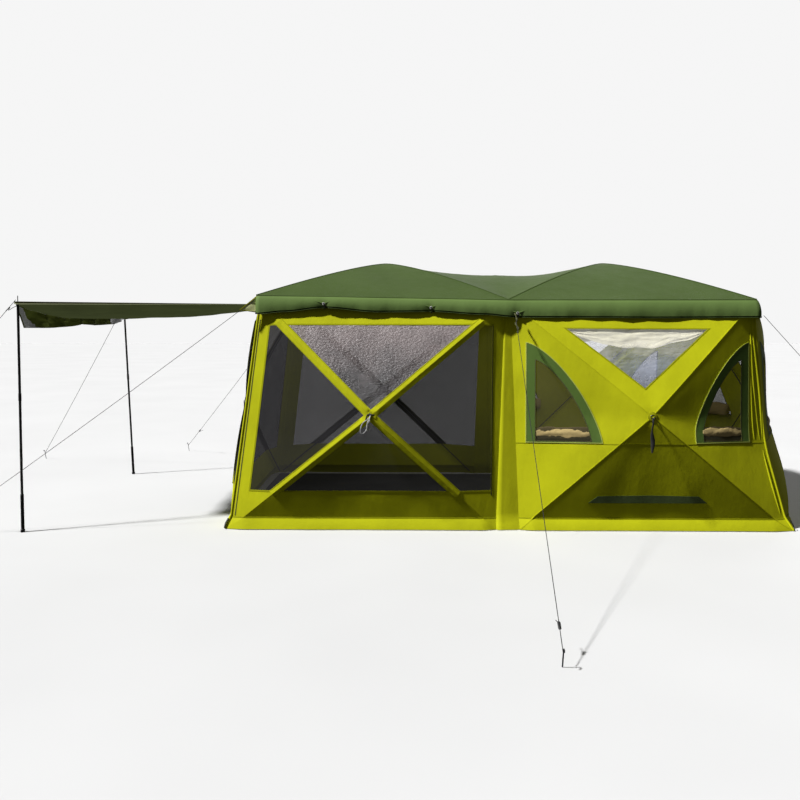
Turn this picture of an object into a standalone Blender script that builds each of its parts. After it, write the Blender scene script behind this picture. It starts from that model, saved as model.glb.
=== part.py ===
"""Two-room pop-up screen house with a rain fly and a side awning.

Units are metres, +Z is up. The origin is the centre of the tent's footprint on the ground: +X runs along
the long front towards the cabin room, and the front faces -Y. Room A (-X) is the screen room, room B the cabin.

Each wall and each roof square is a hub panel: four glass-fibre poles hinged on one central hub push the cloth
out into a low pyramid. A hub slides through its panel, and its poles swing on it, when the panel is popped in.
"""
import math
from collections import namedtuple

import bmesh
import bpy
from mathutils import Matrix, Vector

# Tent body
BASE_HALF_WIDTH = 2.14
BASE_HALF_DEPTH = 1.135
EAVE_HALF_WIDTH = 1.91
EAVE_HALF_WIDTH_RIGHT = 1.875  # the right-hand end leans in a little further
EAVE_HALF_DEPTH = 0.97
EAVE_HEIGHT = 1.735
PILLAR_HALF_FOOT = 0.09  # half the strip of cloth between the two front panels, at the ground
PILLAR_HALF_TOP = 0.02
CLOTH = 0.004  # thickness of every cloth solid
CORNER_GAP = 0.006  # between the end walls and the long walls
WAIST_HEIGHT = 0.66  # the seam below the cabin's windows, where the cloth pulls its corners in
WAIST_PULL = Vector((0.06, 0.05))
SMOOTH_ANGLE = math.radians(40)

# How far a hub stands out of its panel, and how bowed the panel is: 1 is a flat-sided pyramid.
LONG_WALL_POP, LONG_WALL_BOW = 0.26, 1.2
LEFT_WALL_POP, LEFT_WALL_BOW = 0.20, 1.5
RIGHT_WALL_POP, RIGHT_WALL_BOW = 0.30, 2.4
ROOF_POP, ROOF_BOW = 0.33, 1.2
PANEL_RINGS = 6
APEX_SHARE = 0.05  # the panel's flat top over the hub, as a share of the panel

# Hubs and poles
HUB_CORE_RADIUS = 0.042
HUB_ARM_REACH = 0.068
HUB_ARM_HALF_WIDTH = 0.012
HUB_THICKNESS = 0.022
HUB_CORE_STEPS = 5  # points on each stretch of the core between two arms
FRAME_DEPTH = 0.027  # from the cloth's peak in to the middle of the hub and to the pivots
POLE_RADIUS = 0.005
POLE_CLEARANCE = 0.030  # from the cloth's outer face in to the pole's axis
POLE_PIVOT_GAP = 0.004  # from the hub's arm to the pole's end
POLE_TIP_SHARE = 0.93  # the tip's place between hub and corner
POLE_POINTS = 7

# Rain fly
FLY_LEFT, FLY_RIGHT = -1.93, 1.885  # its eaves' ends
FLY_HALF_DEPTH = 1.005
FLY_EAVE_HEIGHT = 1.755
FLY_EAVE_LIFT = 0.035  # how much higher the eave is at the awning's end
FLY_TOP = 2.10
FLY_BOW = 1.2
FLY_SADDLE_DROP = 0.29  # sag between the two domes, as a share of the rise
FLY_VALANCE_DROP = 0.135
FLY_VALANCE_FLARE_LONG = 0.05
FLY_VALANCE_FLARE_RIGHT = 0.135  # over the right wall's belly, and at its corners
FLY_VALANCE_FLARE_CORNER = 0.03
FLY_LEFT_LIP_DROP = 0.025  # the fly stops short on the left, above the awning's seam
FLY_STEPS_X = 10  # grid steps over each room
FLY_STEPS_Y = 10

# Ground sheet
FLOOR_THICKNESS = 0.004
FLOOR_GAP = 0.012

# Awning
AWNING_HINGE_X = -1.985
AWNING_HINGE_Z = 1.72
AWNING_INNER_HALF = 0.955
AWNING_OUTER_X = -3.70
AWNING_OUTER_SKEW = 0.035  # how much further out the back corner is
AWNING_OUTER_HALF = 1.16
AWNING_OUTER_Z = 1.727
AWNING_EYE_MARGIN = 0.018  # cloth beyond the eye that each spike goes through
AWNING_EYE_RADIUS = 0.007
AWNING_SAG = 0.075  # in the middle of the outer edge
AWNING_FLAP_DROP = 0.10
AWNING_FLAP_TUCK = 0.04
AWNING_FLAP_SHARE = 0.86  # the flap's width as a share of the outer edge
AWNING_STEPS = 8
AWNING_EYE_SIDES = 12
AWNING_EYE_CUT = 0.06

# Awning poles
POLE_FOOT_RADIUS = 0.016
POLE_FOOT_HEIGHT = 0.020
POLE_SLEEVE_RADIUS = 0.0125
POLE_SLEEVE_TOP = 0.285
POLE_TUBE_RADIUS = 0.0095
POLE_JOINT_RADIUS = 0.0115
POLE_JOINT_HEIGHT = 1.02
POLE_JOINT_HALF = 0.03
SPIKE_RADIUS = 0.003
SPIKE_HEIGHT = 0.055
SPIKE_TIP = 0.006
SHOULDER_GAP = 0.003  # under the awning's eye
POLE_STEP = 0.004  # height of the chamfers between the pole's parts
POLE_FEET = ((-3.680, -1.280), (-3.665, 1.085))  # front and back: the poles lean
TURNED_SIDES = 12

# Guy lines and pegs
CORD_RADIUS = 0.002
CORD_POINTS = 13
CORD_SAG = 0.012
PEG_RADIUS = 0.0035
PEG_HEIGHT = 0.10
PEG_LEAN = 0.025  # how far the peg's head leans away from the tent
PEG_HOOK_RADIUS = 0.012
PEG_HOOK_STEPS = 5
TOUCH_GAP = 0.0005

Panel = namedtuple("Panel", "name corners outline pop bow")
Guy = namedtuple("Guy", "name start peg has_peg")


def corner(side_x, side_y, top):
    """One corner of the tent body: side_x and side_y are -1 or 1."""
    if top:
        half = EAVE_HALF_WIDTH_RIGHT if side_x > 0 else EAVE_HALF_WIDTH
        return Vector((side_x * half, side_y * EAVE_HALF_DEPTH, EAVE_HEIGHT))
    return Vector((side_x * BASE_HALF_WIDTH, side_y * BASE_HALF_DEPTH, 0.0))


def pillar(side_x, side_y, top):
    """The panels' inner corners, on the strip between the two rooms."""
    point = corner(1, side_y, top)
    point.x = side_x * (PILLAR_HALF_TOP if top else PILLAR_HALF_FOOT)
    return point


def waisted(corners):
    """A wall panel's outline: its corners, and the points where the tent's right-hand corners draw in."""
    outline = []
    for here, following in zip(corners, corners[1:] + corners[:1]):
        outline.append(here)
        low, high = sorted((here, following), key=lambda point: point.z)
        if high.z > low.z and low.x > BASE_HALF_WIDTH / 2:
            waist = low.lerp(high, WAIST_HEIGHT / EAVE_HEIGHT)
            across = math.copysign(WAIST_PULL.y, waist.y)
            outline.append(waist - Vector((WAIST_PULL.x, across, 0)))
    return outline


def long_wall_panels(side, prefix):
    """The two panels of the front (side -1) or the back (side 1), corners counter-clockwise from outside."""
    outline_a = [
        corner(-1, side, False), pillar(-1, side, False), pillar(-1, side, True), corner(-1, side, True),
    ]
    outline_b = [
        pillar(1, side, False), corner(1, side, False), corner(1, side, True), pillar(1, side, True),
    ]
    panels = []
    for room, outline in (("a", outline_a), ("b", outline_b)):
        if side > 0:
            outline = [outline[1], outline[0], outline[3], outline[2]]
        panels.append(Panel(f"{prefix}_{room}", outline, waisted(outline), LONG_WALL_POP, LONG_WALL_BOW))
    return panels


def end_wall_panel(side, name, pop, bow):
    """The panel of the left (side -1) or right (side 1) end wall, kept clear of the long walls' edges."""
    outline = []
    for side_y, top in ((-1, False), (1, False), (1, True), (-1, True)):
        point = corner(side, side_y * side, top)
        point.y -= math.copysign(CORNER_GAP, point.y)
        outline.append(point)
    return Panel(name, outline, waisted(outline), pop, bow)


def roof_panel(side, name):
    """The roof square of room A (side -1) or room B (side 1)."""
    near, far = sorted((side * PILLAR_HALF_TOP, corner(side, 1, True).x))
    outline = [
        Vector((x, y * EAVE_HALF_DEPTH, EAVE_HEIGHT)) for x, y in ((near, -1), (far, -1), (far, 1), (near, 1))
    ]
    return Panel(name, outline, outline, ROOF_POP, ROOF_BOW)


FRONT = long_wall_panels(-1, "front")
BACK = long_wall_panels(1, "back")
LEFT = end_wall_panel(-1, "left", LEFT_WALL_POP, LEFT_WALL_BOW)
RIGHT = end_wall_panel(1, "right", RIGHT_WALL_POP, RIGHT_WALL_BOW)
ROOF = [roof_panel(-1, "roof_a"), roof_panel(1, "roof_b")]
PANELS = [*FRONT, *BACK, LEFT, RIGHT, *ROOF]
WALL_CORNERS = ("lower_left", "lower_right", "upper_right", "upper_left")
ROOF_CORNERS = ("front_left", "front_right", "back_right", "back_left")

GUYS = [
    Guy("front_middle", Vector((0.05, -1.063, 1.628)), Vector((-0.04, -3.62, 0.0)), True),
    Guy("front_left", Vector((-1.945, -1.026, 1.750)), Vector((-4.20, -1.37, 0.0)), True),
    Guy("front_right", Vector((1.916, -1.066, 1.632)), Vector((3.10, -1.75, 0.0)), False),
    Guy("back_left", Vector((-1.945, 1.026, 1.750)), Vector((-3.50, 2.60, 0.0)), True),
    Guy("awning_front", Vector((-3.712, -1.166, 1.750)), Vector((-5.00, -1.66, 0.0)), True),
    Guy("awning_back", Vector((-3.747, 1.166, 1.750)), Vector((-5.01, 2.00, 0.0)), True),
]


def panel_centre(panel):
    return sum(panel.corners, Vector()) / len(panel.corners)


def panel_normal(panel):
    """The unit vector out of the tent."""
    a, b, c, d = panel.corners
    return (c - a).cross(d - b).normalized()


def panel_point(panel, toward, share, depth=0.0):
    """A point on the panel's cloth: share runs from 0 at the hub to 1 on the outline, depth goes inwards."""
    centre = panel_centre(panel)
    lift = panel.pop * (1 - share**panel.bow) - depth
    return centre + (toward - centre) * share + panel_normal(panel) * lift


def hub_centre(panel):
    return panel_centre(panel) + panel_normal(panel) * (panel.pop - FRAME_DEPTH)


def pole_direction(panel, toward):
    """The unit vector in the panel's plane from its centre to a corner."""
    normal = panel_normal(panel)
    line = toward - panel_centre(panel)
    return (line - normal * line.dot(normal)).normalized()


def pole_pivot(panel, toward):
    """Where a pole is hinged on its hub."""
    return hub_centre(panel) + pole_direction(panel, toward) * (HUB_ARM_REACH + POLE_PIVOT_GAP)


def pole_route(panel, toward):
    """The pole's axis, from its pivot to its tip: it follows the cloth a fixed depth inside it."""
    pivot = pole_pivot(panel, toward)
    reach = (toward - panel_centre(panel)).length
    first = (HUB_ARM_REACH + POLE_PIVOT_GAP) / reach
    drift = pivot - panel_point(panel, toward, first, POLE_CLEARANCE)
    route = []
    for i in range(POLE_POINTS):
        part = i / (POLE_POINTS - 1)
        share = first + (POLE_TIP_SHARE - first) * part
        route.append(panel_point(panel, toward, share, POLE_CLEARANCE) + drift * (1 - part))
    return route


def fly_eave(x):
    """The eave's height: level over the cabin, rising towards the awning."""
    return FLY_EAVE_HEIGHT + FLY_EAVE_LIFT * max(0.0, x / FLY_LEFT)


def fly_height(x, y):
    """The fly's upper face: a bowed dome over each room, joined by a shallow saddle between them."""
    room_half = (FLY_RIGHT if x > 0 else -FLY_LEFT) / 2
    across = min(1.0, abs(abs(x) - room_half) / room_half)
    along = min(1.0, abs(y) / FLY_HALF_DEPTH)
    if abs(x) > room_half or along >= across:
        lift = 1 - max(across, along) ** FLY_BOW
    else:
        into_saddle = (across - along) / (1 - along)
        lift = (1 - along**FLY_BOW) * (1 - FLY_SADDLE_DROP * math.sin(into_saddle * math.pi / 2))
    return fly_eave(x) + (FLY_TOP - fly_eave(x)) * lift


def material(name, colour, roughness, metallic=0.0):
    mat = bpy.data.materials.new(name)
    mat.use_nodes = True
    shader = mat.node_tree.nodes["Principled BSDF"]
    shader.inputs["Base Color"].default_value = (*colour, 1.0)
    shader.inputs["Roughness"].default_value = roughness
    shader.inputs["Metallic"].default_value = metallic
    return mat


def place(obj, origin, mat, smooth=False):
    """Links an object whose data is in world coordinates, with its origin moved to the given point."""
    bpy.context.scene.collection.objects.link(obj)
    obj.data.transform(Matrix.Translation(-Vector(origin)))
    obj.location = origin
    obj.data.materials.append(mat)
    if smooth:
        obj.data.shade_smooth()
        obj.data.set_sharp_from_angle(angle=SMOOTH_ANGLE)
    return obj


def mesh_object(name, points, faces, mat, origin=(0, 0, 0), smooth=False):
    mesh = bpy.data.meshes.new(name)
    mesh.from_pydata([tuple(p) for p in points], [], faces)
    mesh.validate()
    return place(bpy.data.objects.new(name, mesh), origin, mat, smooth)


def thicken(obj, amount):
    """Gives a cloth surface its thickness, on the inner side."""
    solid = obj.modifiers.new("cloth", "SOLIDIFY")
    solid.thickness = amount
    solid.offset = -1
    solid.use_even_offset = True


def tube(name, route, radius, mat, resolution, origin=(0, 0, 0)):
    """A round rod or cord along a route, closed at both ends."""
    curve = bpy.data.curves.new(name, "CURVE")
    curve.dimensions = "3D"
    curve.bevel_depth = radius
    curve.bevel_resolution = resolution
    curve.use_fill_caps = True
    curve.render_resolution_u = 0
    spline = curve.splines.new("POLY")
    spline.points.add(len(route) - 1)
    for point, place_at in zip(spline.points, route):
        point.co = (*place_at, 1.0)
    return place(bpy.data.objects.new(name, curve), origin, mat)


def turned(name, profile, centre, mat):
    """A solid of revolution about a vertical axis: profile is (radius, height) from the foot up."""
    points = []
    faces = []
    for radius, height in profile:
        for k in range(TURNED_SIDES):
            turn = 2 * math.pi * k / TURNED_SIDES
            points.append((centre[0] + radius * math.cos(turn), centre[1] + radius * math.sin(turn), height))
    for ring in range(len(profile) - 1):
        for k in range(TURNED_SIDES):
            here = ring * TURNED_SIDES + k
            beside = ring * TURNED_SIDES + (k + 1) % TURNED_SIDES
            faces.append((here, beside, beside + TURNED_SIDES, here + TURNED_SIDES))
    faces.append(tuple(reversed(range(TURNED_SIDES))))
    last = (len(profile) - 1) * TURNED_SIDES
    faces.append(tuple(range(last, last + TURNED_SIDES)))
    return mesh_object(name, points, faces, mat, origin=(centre[0], centre[1], 0), smooth=True)


def panel_rings(panel, points, faces):
    """Adds a panel's cloth to a surface, and returns the indices of its four corners."""
    count = len(panel.outline)
    first = len(points)
    for ring in range(PANEL_RINGS + 1):
        share = 1 - (1 - APEX_SHARE) * ring / PANEL_RINGS
        for toward in panel.outline:
            points.append(panel_point(panel, toward, share))
    for ring in range(PANEL_RINGS):
        for k in range(count):
            here = first + ring * count + k
            beside = first + ring * count + (k + 1) % count
            faces.append((here, beside, beside + count, here + count))
    last = first + PANEL_RINGS * count
    faces.append(tuple(range(last, last + count)))
    return [first + panel.outline.index(toward) for toward in panel.corners]


def make_long_wall(name, panels, mat):
    """The front or back wall: both panels and the strip between the rooms, in one piece of cloth."""
    points = []
    faces = []
    outline_a = panel_rings(panels[0], points, faces)
    outline_b = panel_rings(panels[1], points, faces)
    if points[outline_a[0]].y < 0:
        faces.append((outline_a[1], outline_b[0], outline_b[3], outline_a[2]))
    else:
        faces.append((outline_b[1], outline_a[0], outline_a[3], outline_b[2]))
    wall = mesh_object(name, points, faces, mat)
    thicken(wall, CLOTH)
    return wall


def make_end_wall(name, panel, mat):
    points = []
    faces = []
    panel_rings(panel, points, faces)
    wall = mesh_object(name, points, faces, mat)
    thicken(wall, CLOTH)
    return wall


def make_hub(panel, mat):
    """A moulded hub: a round core with an arm towards each of its four poles."""
    normal = panel_normal(panel)
    centre = hub_centre(panel)
    arms = [pole_direction(panel, toward) for toward in panel.corners]
    across = arms[0]
    up = normal.cross(across)
    angles = [0.0] + [math.atan2(arm.dot(up), arm.dot(across)) % (2 * math.pi) for arm in arms[1:]]
    half_arm = math.asin(HUB_ARM_HALF_WIDTH / HUB_CORE_RADIUS)
    outline = []
    for i, angle in enumerate(angles):
        following = angles[(i + 1) % 4] + (2 * math.pi if i == 3 else 0)
        for side in (-1, 1):
            reach = Vector((HUB_ARM_REACH, side * HUB_ARM_HALF_WIDTH))
            reach.rotate(Matrix.Rotation(angle, 2))
            outline.append(reach)
        start, stop = angle + half_arm, following - half_arm
        for k in range(HUB_CORE_STEPS):
            turn = start + (stop - start) * k / (HUB_CORE_STEPS - 1)
            outline.append(Vector((math.cos(turn), math.sin(turn))) * HUB_CORE_RADIUS)
    points = []
    for level in (-0.5, 0.5):
        for flat in outline:
            points.append(centre + across * flat.x + up * flat.y + normal * (level * HUB_THICKNESS))
    count = len(outline)
    faces = [tuple(reversed(range(count))), tuple(range(count, 2 * count))]
    for k in range(count):
        beside = (k + 1) % count
        faces.append((k, beside, beside + count, k + count))
    return mesh_object(f"{panel.name}_hub", points, faces, mat, origin=centre)


def make_pole(panel, toward, corner_name, mat):
    route = pole_route(panel, toward)
    name = f"{panel.name}_pole_{corner_name}"
    return tube(name, route, POLE_RADIUS, mat, 1, origin=route[0])


def make_fly(mat):
    """The rain fly: one sheet over both rooms, with a valance on every side but the awning's."""
    columns = 2 * FLY_STEPS_X
    xs = [(-FLY_LEFT if i < FLY_STEPS_X else FLY_RIGHT) * (i / FLY_STEPS_X - 1) for i in range(columns + 1)]
    ys = [FLY_HALF_DEPTH * (2 * j / FLY_STEPS_Y - 1) for j in range(FLY_STEPS_Y + 1)]
    points = [Vector((x, y, fly_height(x, y))) for y in ys for x in xs]
    width = len(xs)
    faces = []
    for j in range(FLY_STEPS_Y):
        for i in range(columns):
            here = j * width + i
            faces.append((here, here + 1, here + 1 + width, here + width))
    front = list(range(width))
    right = [j * width + columns for j in range(1, FLY_STEPS_Y)]
    back = [FLY_STEPS_Y * width + i for i in reversed(range(width))]
    left = [j * width for j in reversed(range(1, FLY_STEPS_Y))]
    rim = front + right + back + left
    hem = []
    for index in rim:
        point = points[index].copy()
        if index in front or index in back:
            point.y += math.copysign(FLY_VALANCE_FLARE_LONG, point.y)
        if index in (front[-1], back[0]):
            point.x += FLY_VALANCE_FLARE_CORNER
        if index in right:
            point.x += FLY_VALANCE_FLARE_RIGHT
        at_awning = index in left or index in (front[0], back[-1])
        point.z -= FLY_LEFT_LIP_DROP if at_awning else FLY_VALANCE_DROP
        hem.append(len(points))
        points.append(point)
    for k, index in enumerate(rim):
        beside = (k + 1) % len(rim)
        if points[index].y < 0:  # split so that the valance bellies out at both ends of the right side
            faces += [(index, hem[k], hem[beside]), (index, hem[beside], rim[beside])]
        else:
            faces += [(index, hem[k], rim[beside]), (hem[k], hem[beside], rim[beside])]
    fly = mesh_object("fly", points, faces, mat)
    thicken(fly, CLOTH)
    return fly


def make_floor(mat):
    """The ground sheet, inside the walls' feet."""
    half_x = BASE_HALF_WIDTH - FLOOR_GAP
    half_y = BASE_HALF_DEPTH - FLOOR_GAP
    points = [
        (x * half_x, y * half_y, z) for z in (0.0, FLOOR_THICKNESS) for x, y in ((-1, -1), (1, -1), (1, 1), (-1, 1))
    ]
    faces = [(3, 2, 1, 0), (4, 5, 6, 7), (0, 1, 5, 4), (1, 2, 6, 5), (2, 3, 7, 6), (3, 0, 4, 7)]
    return mesh_object("groundsheet", points, faces, mat)


def awning_eye(side):
    """The middle of the eye over a pole: side is -1 in front and 1 at the back."""
    x = AWNING_OUTER_X - AWNING_OUTER_SKEW * (side + 1) / 2
    return Vector((x, side * AWNING_OUTER_HALF, AWNING_OUTER_Z))


def awning_point(out, side):
    """A point on the awning's upper face: out is 0 at the hinge and 1 at the poles, side runs from -1 to 1."""
    half = AWNING_INNER_HALF + (AWNING_OUTER_HALF + AWNING_EYE_MARGIN - AWNING_INNER_HALF) * out
    outer_x = awning_eye(side).x - AWNING_EYE_MARGIN
    x = AWNING_HINGE_X + (outer_x - AWNING_HINGE_X) * out
    z = AWNING_HINGE_Z + (AWNING_OUTER_Z - AWNING_HINGE_Z) * out
    sag = AWNING_SAG * math.sin(math.pi / 2 * out) * (1 - side * side)
    return Vector((x, side * half, z - sag))


def make_awning(mat):
    """The awning sheet with the flap that hangs from its outer edge, and an eye at each outer corner."""
    steps = AWNING_STEPS
    points = [
        awning_point(i / steps, 2 * j / steps - 1) for i in range(steps + 1) for j in range(steps + 1)
    ]
    width = steps + 1
    faces = []
    for i in range(steps):
        for j in range(steps):
            here = i * width + j
            faces.append((here, here + width, here + width + 1, here + 1))
    outer = [steps * width + j for j in range(1, steps)]
    hem = []
    for index in outer:
        point = points[index].copy()
        point += Vector((AWNING_FLAP_TUCK, 0, -AWNING_FLAP_DROP))
        point.y *= AWNING_FLAP_SHARE / (1 - 2 / steps)
        hem.append(len(points))
        points.append(point)
    for k in range(len(outer) - 1):
        faces.append((outer[k], hem[k], hem[k + 1], outer[k + 1]))
    hinge = (AWNING_HINGE_X, 0, AWNING_HINGE_Z)
    awning = mesh_object("awning", points, faces, mat, origin=hinge)
    thicken(awning, CLOTH)
    for side in (-1, 1):
        bpy.ops.mesh.primitive_cylinder_add(
            vertices=AWNING_EYE_SIDES, radius=AWNING_EYE_RADIUS, depth=AWNING_EYE_CUT, location=awning_eye(side),
        )
        cutter = bpy.context.object
        cutter.name = f"eye_cutter_{side}"
        cutter.hide_render = True
        cutter.display_type = "WIRE"
        cut = awning.modifiers.new("eye", "BOOLEAN")
        cut.operation = "DIFFERENCE"
        cut.object = cutter
    return awning


def make_awning_pole(name, side, mat):
    """A three-part steel pole: foot, stout lower sleeve, tube with a joint ring, shoulder and spike. It leans."""
    shoulder = AWNING_OUTER_Z - CLOTH - SHOULDER_GAP
    joint_low = POLE_JOINT_HEIGHT - POLE_JOINT_HALF
    joint_high = POLE_JOINT_HEIGHT + POLE_JOINT_HALF
    profile = [
        (POLE_FOOT_RADIUS, 0.0),
        (POLE_FOOT_RADIUS, POLE_FOOT_HEIGHT),
        (POLE_SLEEVE_RADIUS, POLE_FOOT_HEIGHT + POLE_STEP),
        (POLE_SLEEVE_RADIUS, POLE_SLEEVE_TOP),
        (POLE_TUBE_RADIUS, POLE_SLEEVE_TOP + POLE_STEP),
        (POLE_TUBE_RADIUS, joint_low),
        (POLE_JOINT_RADIUS, joint_low + POLE_STEP),
        (POLE_JOINT_RADIUS, joint_high - POLE_STEP),
        (POLE_TUBE_RADIUS, joint_high),
        (POLE_TUBE_RADIUS, shoulder - POLE_STEP),
        (SPIKE_RADIUS, shoulder),
        (SPIKE_RADIUS, shoulder + SPIKE_HEIGHT),
        (SPIKE_RADIUS / 2, shoulder + SPIKE_HEIGHT + SPIKE_TIP),
    ]
    foot = POLE_FEET[0 if side < 0 else 1]
    pole = turned(name, profile, foot, mat)
    lean = awning_eye(side).to_2d() - Vector(foot)
    for vertex in pole.data.vertices:
        vertex.co.xy += lean * (vertex.co.z / AWNING_OUTER_Z)
    return pole


def away(guy):
    """The level unit vector from the tent to the guy line's peg."""
    line = guy.peg - guy.start
    line.z = 0
    return line.normalized()


def cord_end(guy):
    """Where the line meets its peg, just under the hook."""
    height = PEG_HEIGHT - 2 * PEG_HOOK_RADIUS
    lean = PEG_LEAN * height / PEG_HEIGHT
    reach = PEG_RADIUS + CORD_RADIUS + TOUCH_GAP
    return guy.peg + away(guy) * (lean - reach) + Vector((0, 0, height))


def guy_route(guy):
    """The line's axis: taut, with the slight sag of its own weight."""
    start, end = guy.start, cord_end(guy)
    route = []
    for i in range(CORD_POINTS):
        part = i / (CORD_POINTS - 1)
        route.append(start.lerp(end, part) - Vector((0, 0, CORD_SAG * 4 * part * (1 - part))))
    return route


def make_peg(guy, mat):
    """A round-wire peg that leans away from the tent, with a hook turned back over the line."""
    out = away(guy)
    foot = guy.peg + Vector((0, 0, PEG_RADIUS * PEG_LEAN / PEG_HEIGHT))
    bend = guy.peg + out * PEG_LEAN + Vector((0, 0, PEG_HEIGHT - PEG_HOOK_RADIUS))
    route = [foot, bend]
    for i in range(1, PEG_HOOK_STEPS + 1):
        turn = math.pi * i / PEG_HOOK_STEPS
        swing = out * (1 - math.cos(turn)) + Vector((0, 0, math.sin(turn)))
        route.append(bend + swing * PEG_HOOK_RADIUS)
    return tube(f"peg_{guy.name}", route, PEG_RADIUS, mat, 1)


def main():
    for old in list(bpy.data.objects):
        bpy.data.objects.remove(old)
    lime = material("lime_cloth", (0.42, 0.45, 0.03), 0.7)
    green = material("fly_cloth", (0.09, 0.16, 0.05), 0.65)
    dark = material("awning_cloth", (0.05, 0.07, 0.025), 0.7)
    sheet = material("ground_cloth", (0.10, 0.10, 0.11), 0.8)
    fibre = material("glass_fibre", (0.05, 0.05, 0.05), 0.4)
    moulded = material("hub_plastic", (0.02, 0.02, 0.02), 0.45)
    steel = material("black_steel", (0.02, 0.02, 0.02), 0.35, 0.8)
    wire = material("peg_steel", (0.45, 0.46, 0.48), 0.35, 1.0)
    cord = material("guy_cord", (0.03, 0.03, 0.03), 0.8)
    make_long_wall("front_wall", FRONT, lime)
    make_long_wall("back_wall", BACK, lime)
    make_end_wall("left_wall", LEFT, lime)
    make_end_wall("right_wall", RIGHT, lime)
    make_floor(sheet)
    make_fly(green)
    make_awning(dark)
    make_awning_pole("awning_pole_front", -1, steel)
    make_awning_pole("awning_pole_back", 1, steel)
    for panel in PANELS:
        make_hub(panel, moulded)
        names = ROOF_CORNERS if panel in ROOF else WALL_CORNERS
        for toward, corner_name in zip(panel.corners, names):
            make_pole(panel, toward, corner_name, fibre)
    for guy in GUYS:
        tube(f"guy_{guy.name}", guy_route(guy), CORD_RADIUS, cord, 2)
        if guy.has_peg:
            make_peg(guy, wire)


main()
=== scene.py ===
"""The looks of the two-room screen house: its cloth, screens, windows, seams, cords and trim.

Metres, +Z up. +X runs along the front towards the cabin room, and the front faces -Y.
"""
import math

import bpy
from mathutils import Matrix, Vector, noise
from mathutils.geometry import delaunay_2d_cdt
from mathutils.kdtree import KDTree


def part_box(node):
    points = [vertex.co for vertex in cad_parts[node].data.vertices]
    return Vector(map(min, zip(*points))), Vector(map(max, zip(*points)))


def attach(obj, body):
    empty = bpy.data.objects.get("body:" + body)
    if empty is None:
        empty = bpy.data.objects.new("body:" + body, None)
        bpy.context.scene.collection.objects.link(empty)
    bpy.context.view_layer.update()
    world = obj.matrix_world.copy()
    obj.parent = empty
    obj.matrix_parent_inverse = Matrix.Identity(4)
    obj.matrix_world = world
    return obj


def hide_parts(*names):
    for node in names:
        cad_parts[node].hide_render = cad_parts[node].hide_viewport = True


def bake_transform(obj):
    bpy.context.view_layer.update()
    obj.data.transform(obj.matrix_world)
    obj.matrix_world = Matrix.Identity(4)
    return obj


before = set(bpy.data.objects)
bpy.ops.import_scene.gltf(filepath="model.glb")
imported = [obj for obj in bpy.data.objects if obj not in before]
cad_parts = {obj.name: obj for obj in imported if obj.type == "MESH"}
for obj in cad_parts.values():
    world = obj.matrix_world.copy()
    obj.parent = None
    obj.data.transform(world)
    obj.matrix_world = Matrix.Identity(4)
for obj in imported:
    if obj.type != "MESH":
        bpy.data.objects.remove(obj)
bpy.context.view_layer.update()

# ---------------------------------------------------------------- sizes

wall_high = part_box("front_wall")[1]
end_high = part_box("right_wall")[1]
UP = Vector((0, 0, 1))
REARWARD = Vector((0, 1, 0))
EAVE_HEIGHT = wall_high.z
BASE_HALF_WIDTH = wall_high.x
BASE_HALF_DEPTH = 1.135
EAVE_HALF_WIDTH = 1.91
EAVE_HALF_WIDTH_RIGHT = 1.875
EAVE_HALF_DEPTH = 0.97
END_BASE_HALF = end_high.y
END_EAVE_HALF = EAVE_HALF_DEPTH - (BASE_HALF_DEPTH - END_BASE_HALF)
PILLAR_FOOT, PILLAR_TOP = 0.09, 0.02  # half the strip between the rooms
SKIRT = 0.087  # height of the seam over the skirt
SKIRT_FLARE = 0.030  # how far the skirt stands out at the ground
APEX_SHARE = 0.05
WAIST = 0.66  # the seam below the windows, where the cloth pulls its right-hand corners in
WAIST_PULL = Vector((0.06, 0.05))

LONG_POP, LONG_BOW = 0.26, 1.2
LEFT_POP, LEFT_BOW = 0.20, 1.5
RIGHT_POP, RIGHT_BOW = 0.30, 2.4
ROOF_POP, ROOF_BOW = 0.33, 1.2
DISH = 0.016  # how far a facet sags in between its poles

FLY_LEFT, FLY_RIGHT, FLY_HALF_DEPTH = -1.93, 1.885, 1.005
FLY_EAVE, FLY_EAVE_LIFT, FLY_TOP, FLY_BOW = 1.755, 0.035, 2.10, 1.3
FLY_SADDLE = 0.29
FLY_HEM_LONG, FLY_HEM_RIGHT, FLY_HEM_CORNER = 0.032, 0.128, 0.022
FLY_HEM_DROP = 0.135
FLY_LIP_DROP = 0.025  # on the left, above the awning's seam

CORD_RADIUS = 0.002
CORD_POINTS = 13
CORD_SAG = 0.012
PEG_HEAD = 0.076  # where the line holds its peg
PEG_LEAN = 0.013

TENT_CORNERS = [
    (x_sign, y_sign, f"{end}_{side}")
    for x_sign, side in ((-1, "left"), (1, "right"))
    for y_sign, end in ((-1, "front"), (1, "back"))
]

# ---------------------------------------------------------------- camera and light


def add_object(name, data):
    obj = bpy.data.objects.new(name, data)
    bpy.context.scene.collection.objects.link(obj)
    return obj


camera_data = bpy.data.cameras.new("camera")
camera = add_object("camera", camera_data)
bpy.context.scene.camera = camera
camera.location = (-0.728, -7.163, 1.564)
camera_data.lens = 35.94
camera_data.sensor_width = 36.0
CAMERA_YAW, CAMERA_PITCH = -0.0161, -0.0942
camera.rotation_euler = (math.pi / 2 + CAMERA_PITCH, 0, -CAMERA_YAW)

# ---------------------------------------------------------------- materials


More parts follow.
